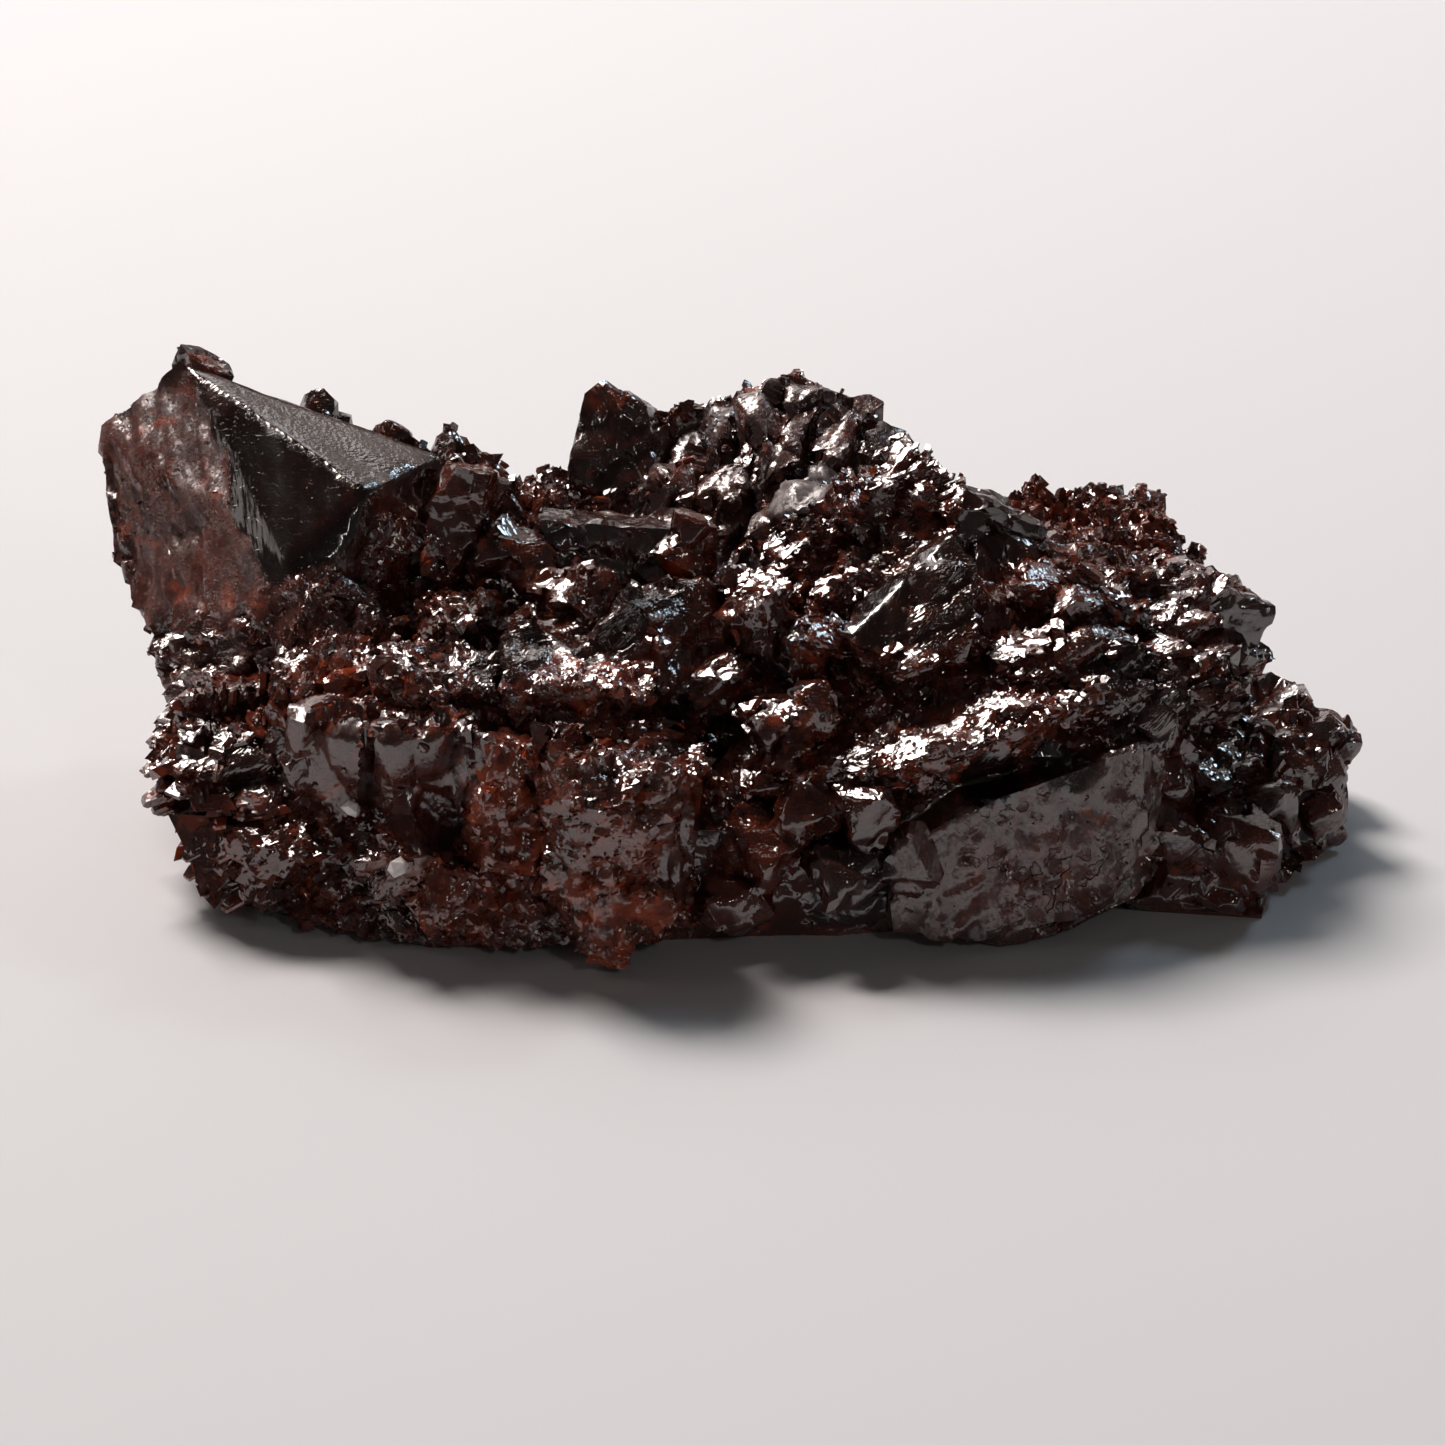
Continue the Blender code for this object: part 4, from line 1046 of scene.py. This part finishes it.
class SPECIMEN_OT_stage(Operator):
    """The floor, the lights and the camera"""

    bl_idname = "specimen.set_stage"
    bl_label = "Set stage"

    def execute(self, context):
        bm = bmesh.new()
        bmesh.ops.create_grid(bm, x_segments=1, y_segments=1, size=2.0)
        floor = object_from(bm, "floor")
        floor.data.materials.append(floor_finish())
        for name, (place, width, height, power, colour) in LIGHTS.items():
            light = bpy.data.lights.new(name, "AREA")
            light.shape = "RECTANGLE"
            light.size, light.size_y, light.energy, light.color = width, height, power, colour
            lamp = bpy.data.objects.new(name, light)
            lamp.location = place
            lamp.rotation_euler = (LOOK_AT - Vector(place)).to_track_quat("-Z", "Y").to_euler()
            context.scene.collection.objects.link(lamp)
        context.scene.world = studio_world()
        context.scene.view_settings.view_transform = "Standard"
        camera = bpy.data.objects.new("camera", bpy.data.cameras.new("camera"))
        camera.location = LOOK_AT + TO_CAMERA * DISTANCE
        camera.rotation_euler = (-TO_CAMERA).to_track_quat("-Z", "Y").to_euler()
        camera.data.sensor_width = SENSOR
        camera.data.lens = SENSOR * DISTANCE / PICTURE_WIDTH
        camera.data.clip_start = 0.01
        context.scene.collection.objects.link(camera)
        context.scene.camera = camera
        return {"FINISHED"}


class SPECIMEN_PT_panel(Panel):
    """The specimen's steps, in order"""

    bl_idname = "SPECIMEN_PT_panel"
    bl_label = "Sphalerite specimen"
    bl_space_type = "VIEW_3D"
    bl_region_type = "UI"
    bl_category = "Specimen"

    def draw(self, context):
        for group in (context.scene.specimen_sizes, context.scene.specimen_colours):
            for name in group.__annotations__:
                self.layout.prop(group, name)
        for step in STEPS:
            self.layout.operator(step.bl_idname)


STEPS = (SPECIMEN_OT_body, SPECIMEN_OT_druse, SPECIMEN_OT_flecks, SPECIMEN_OT_stage)
CLASSES = (SpecimenSizes, SpecimenColours, *STEPS, SPECIMEN_PT_panel)


def register():
    for cls in CLASSES:
        bpy.utils.register_class(cls)
    bpy.types.Scene.specimen_sizes = PointerProperty(type=SpecimenSizes)
    bpy.types.Scene.specimen_colours = PointerProperty(type=SpecimenColours)


def unregister():
    del bpy.types.Scene.specimen_sizes
    del bpy.types.Scene.specimen_colours
    for cls in reversed(CLASSES):
        bpy.utils.unregister_class(cls)


def main():
    register()
    bpy.ops.specimen.grow_body()
    bpy.ops.specimen.grow_druse()
    bpy.ops.specimen.set_flecks()
    bpy.ops.specimen.set_stage()


if __name__ == "__main__":
    main()
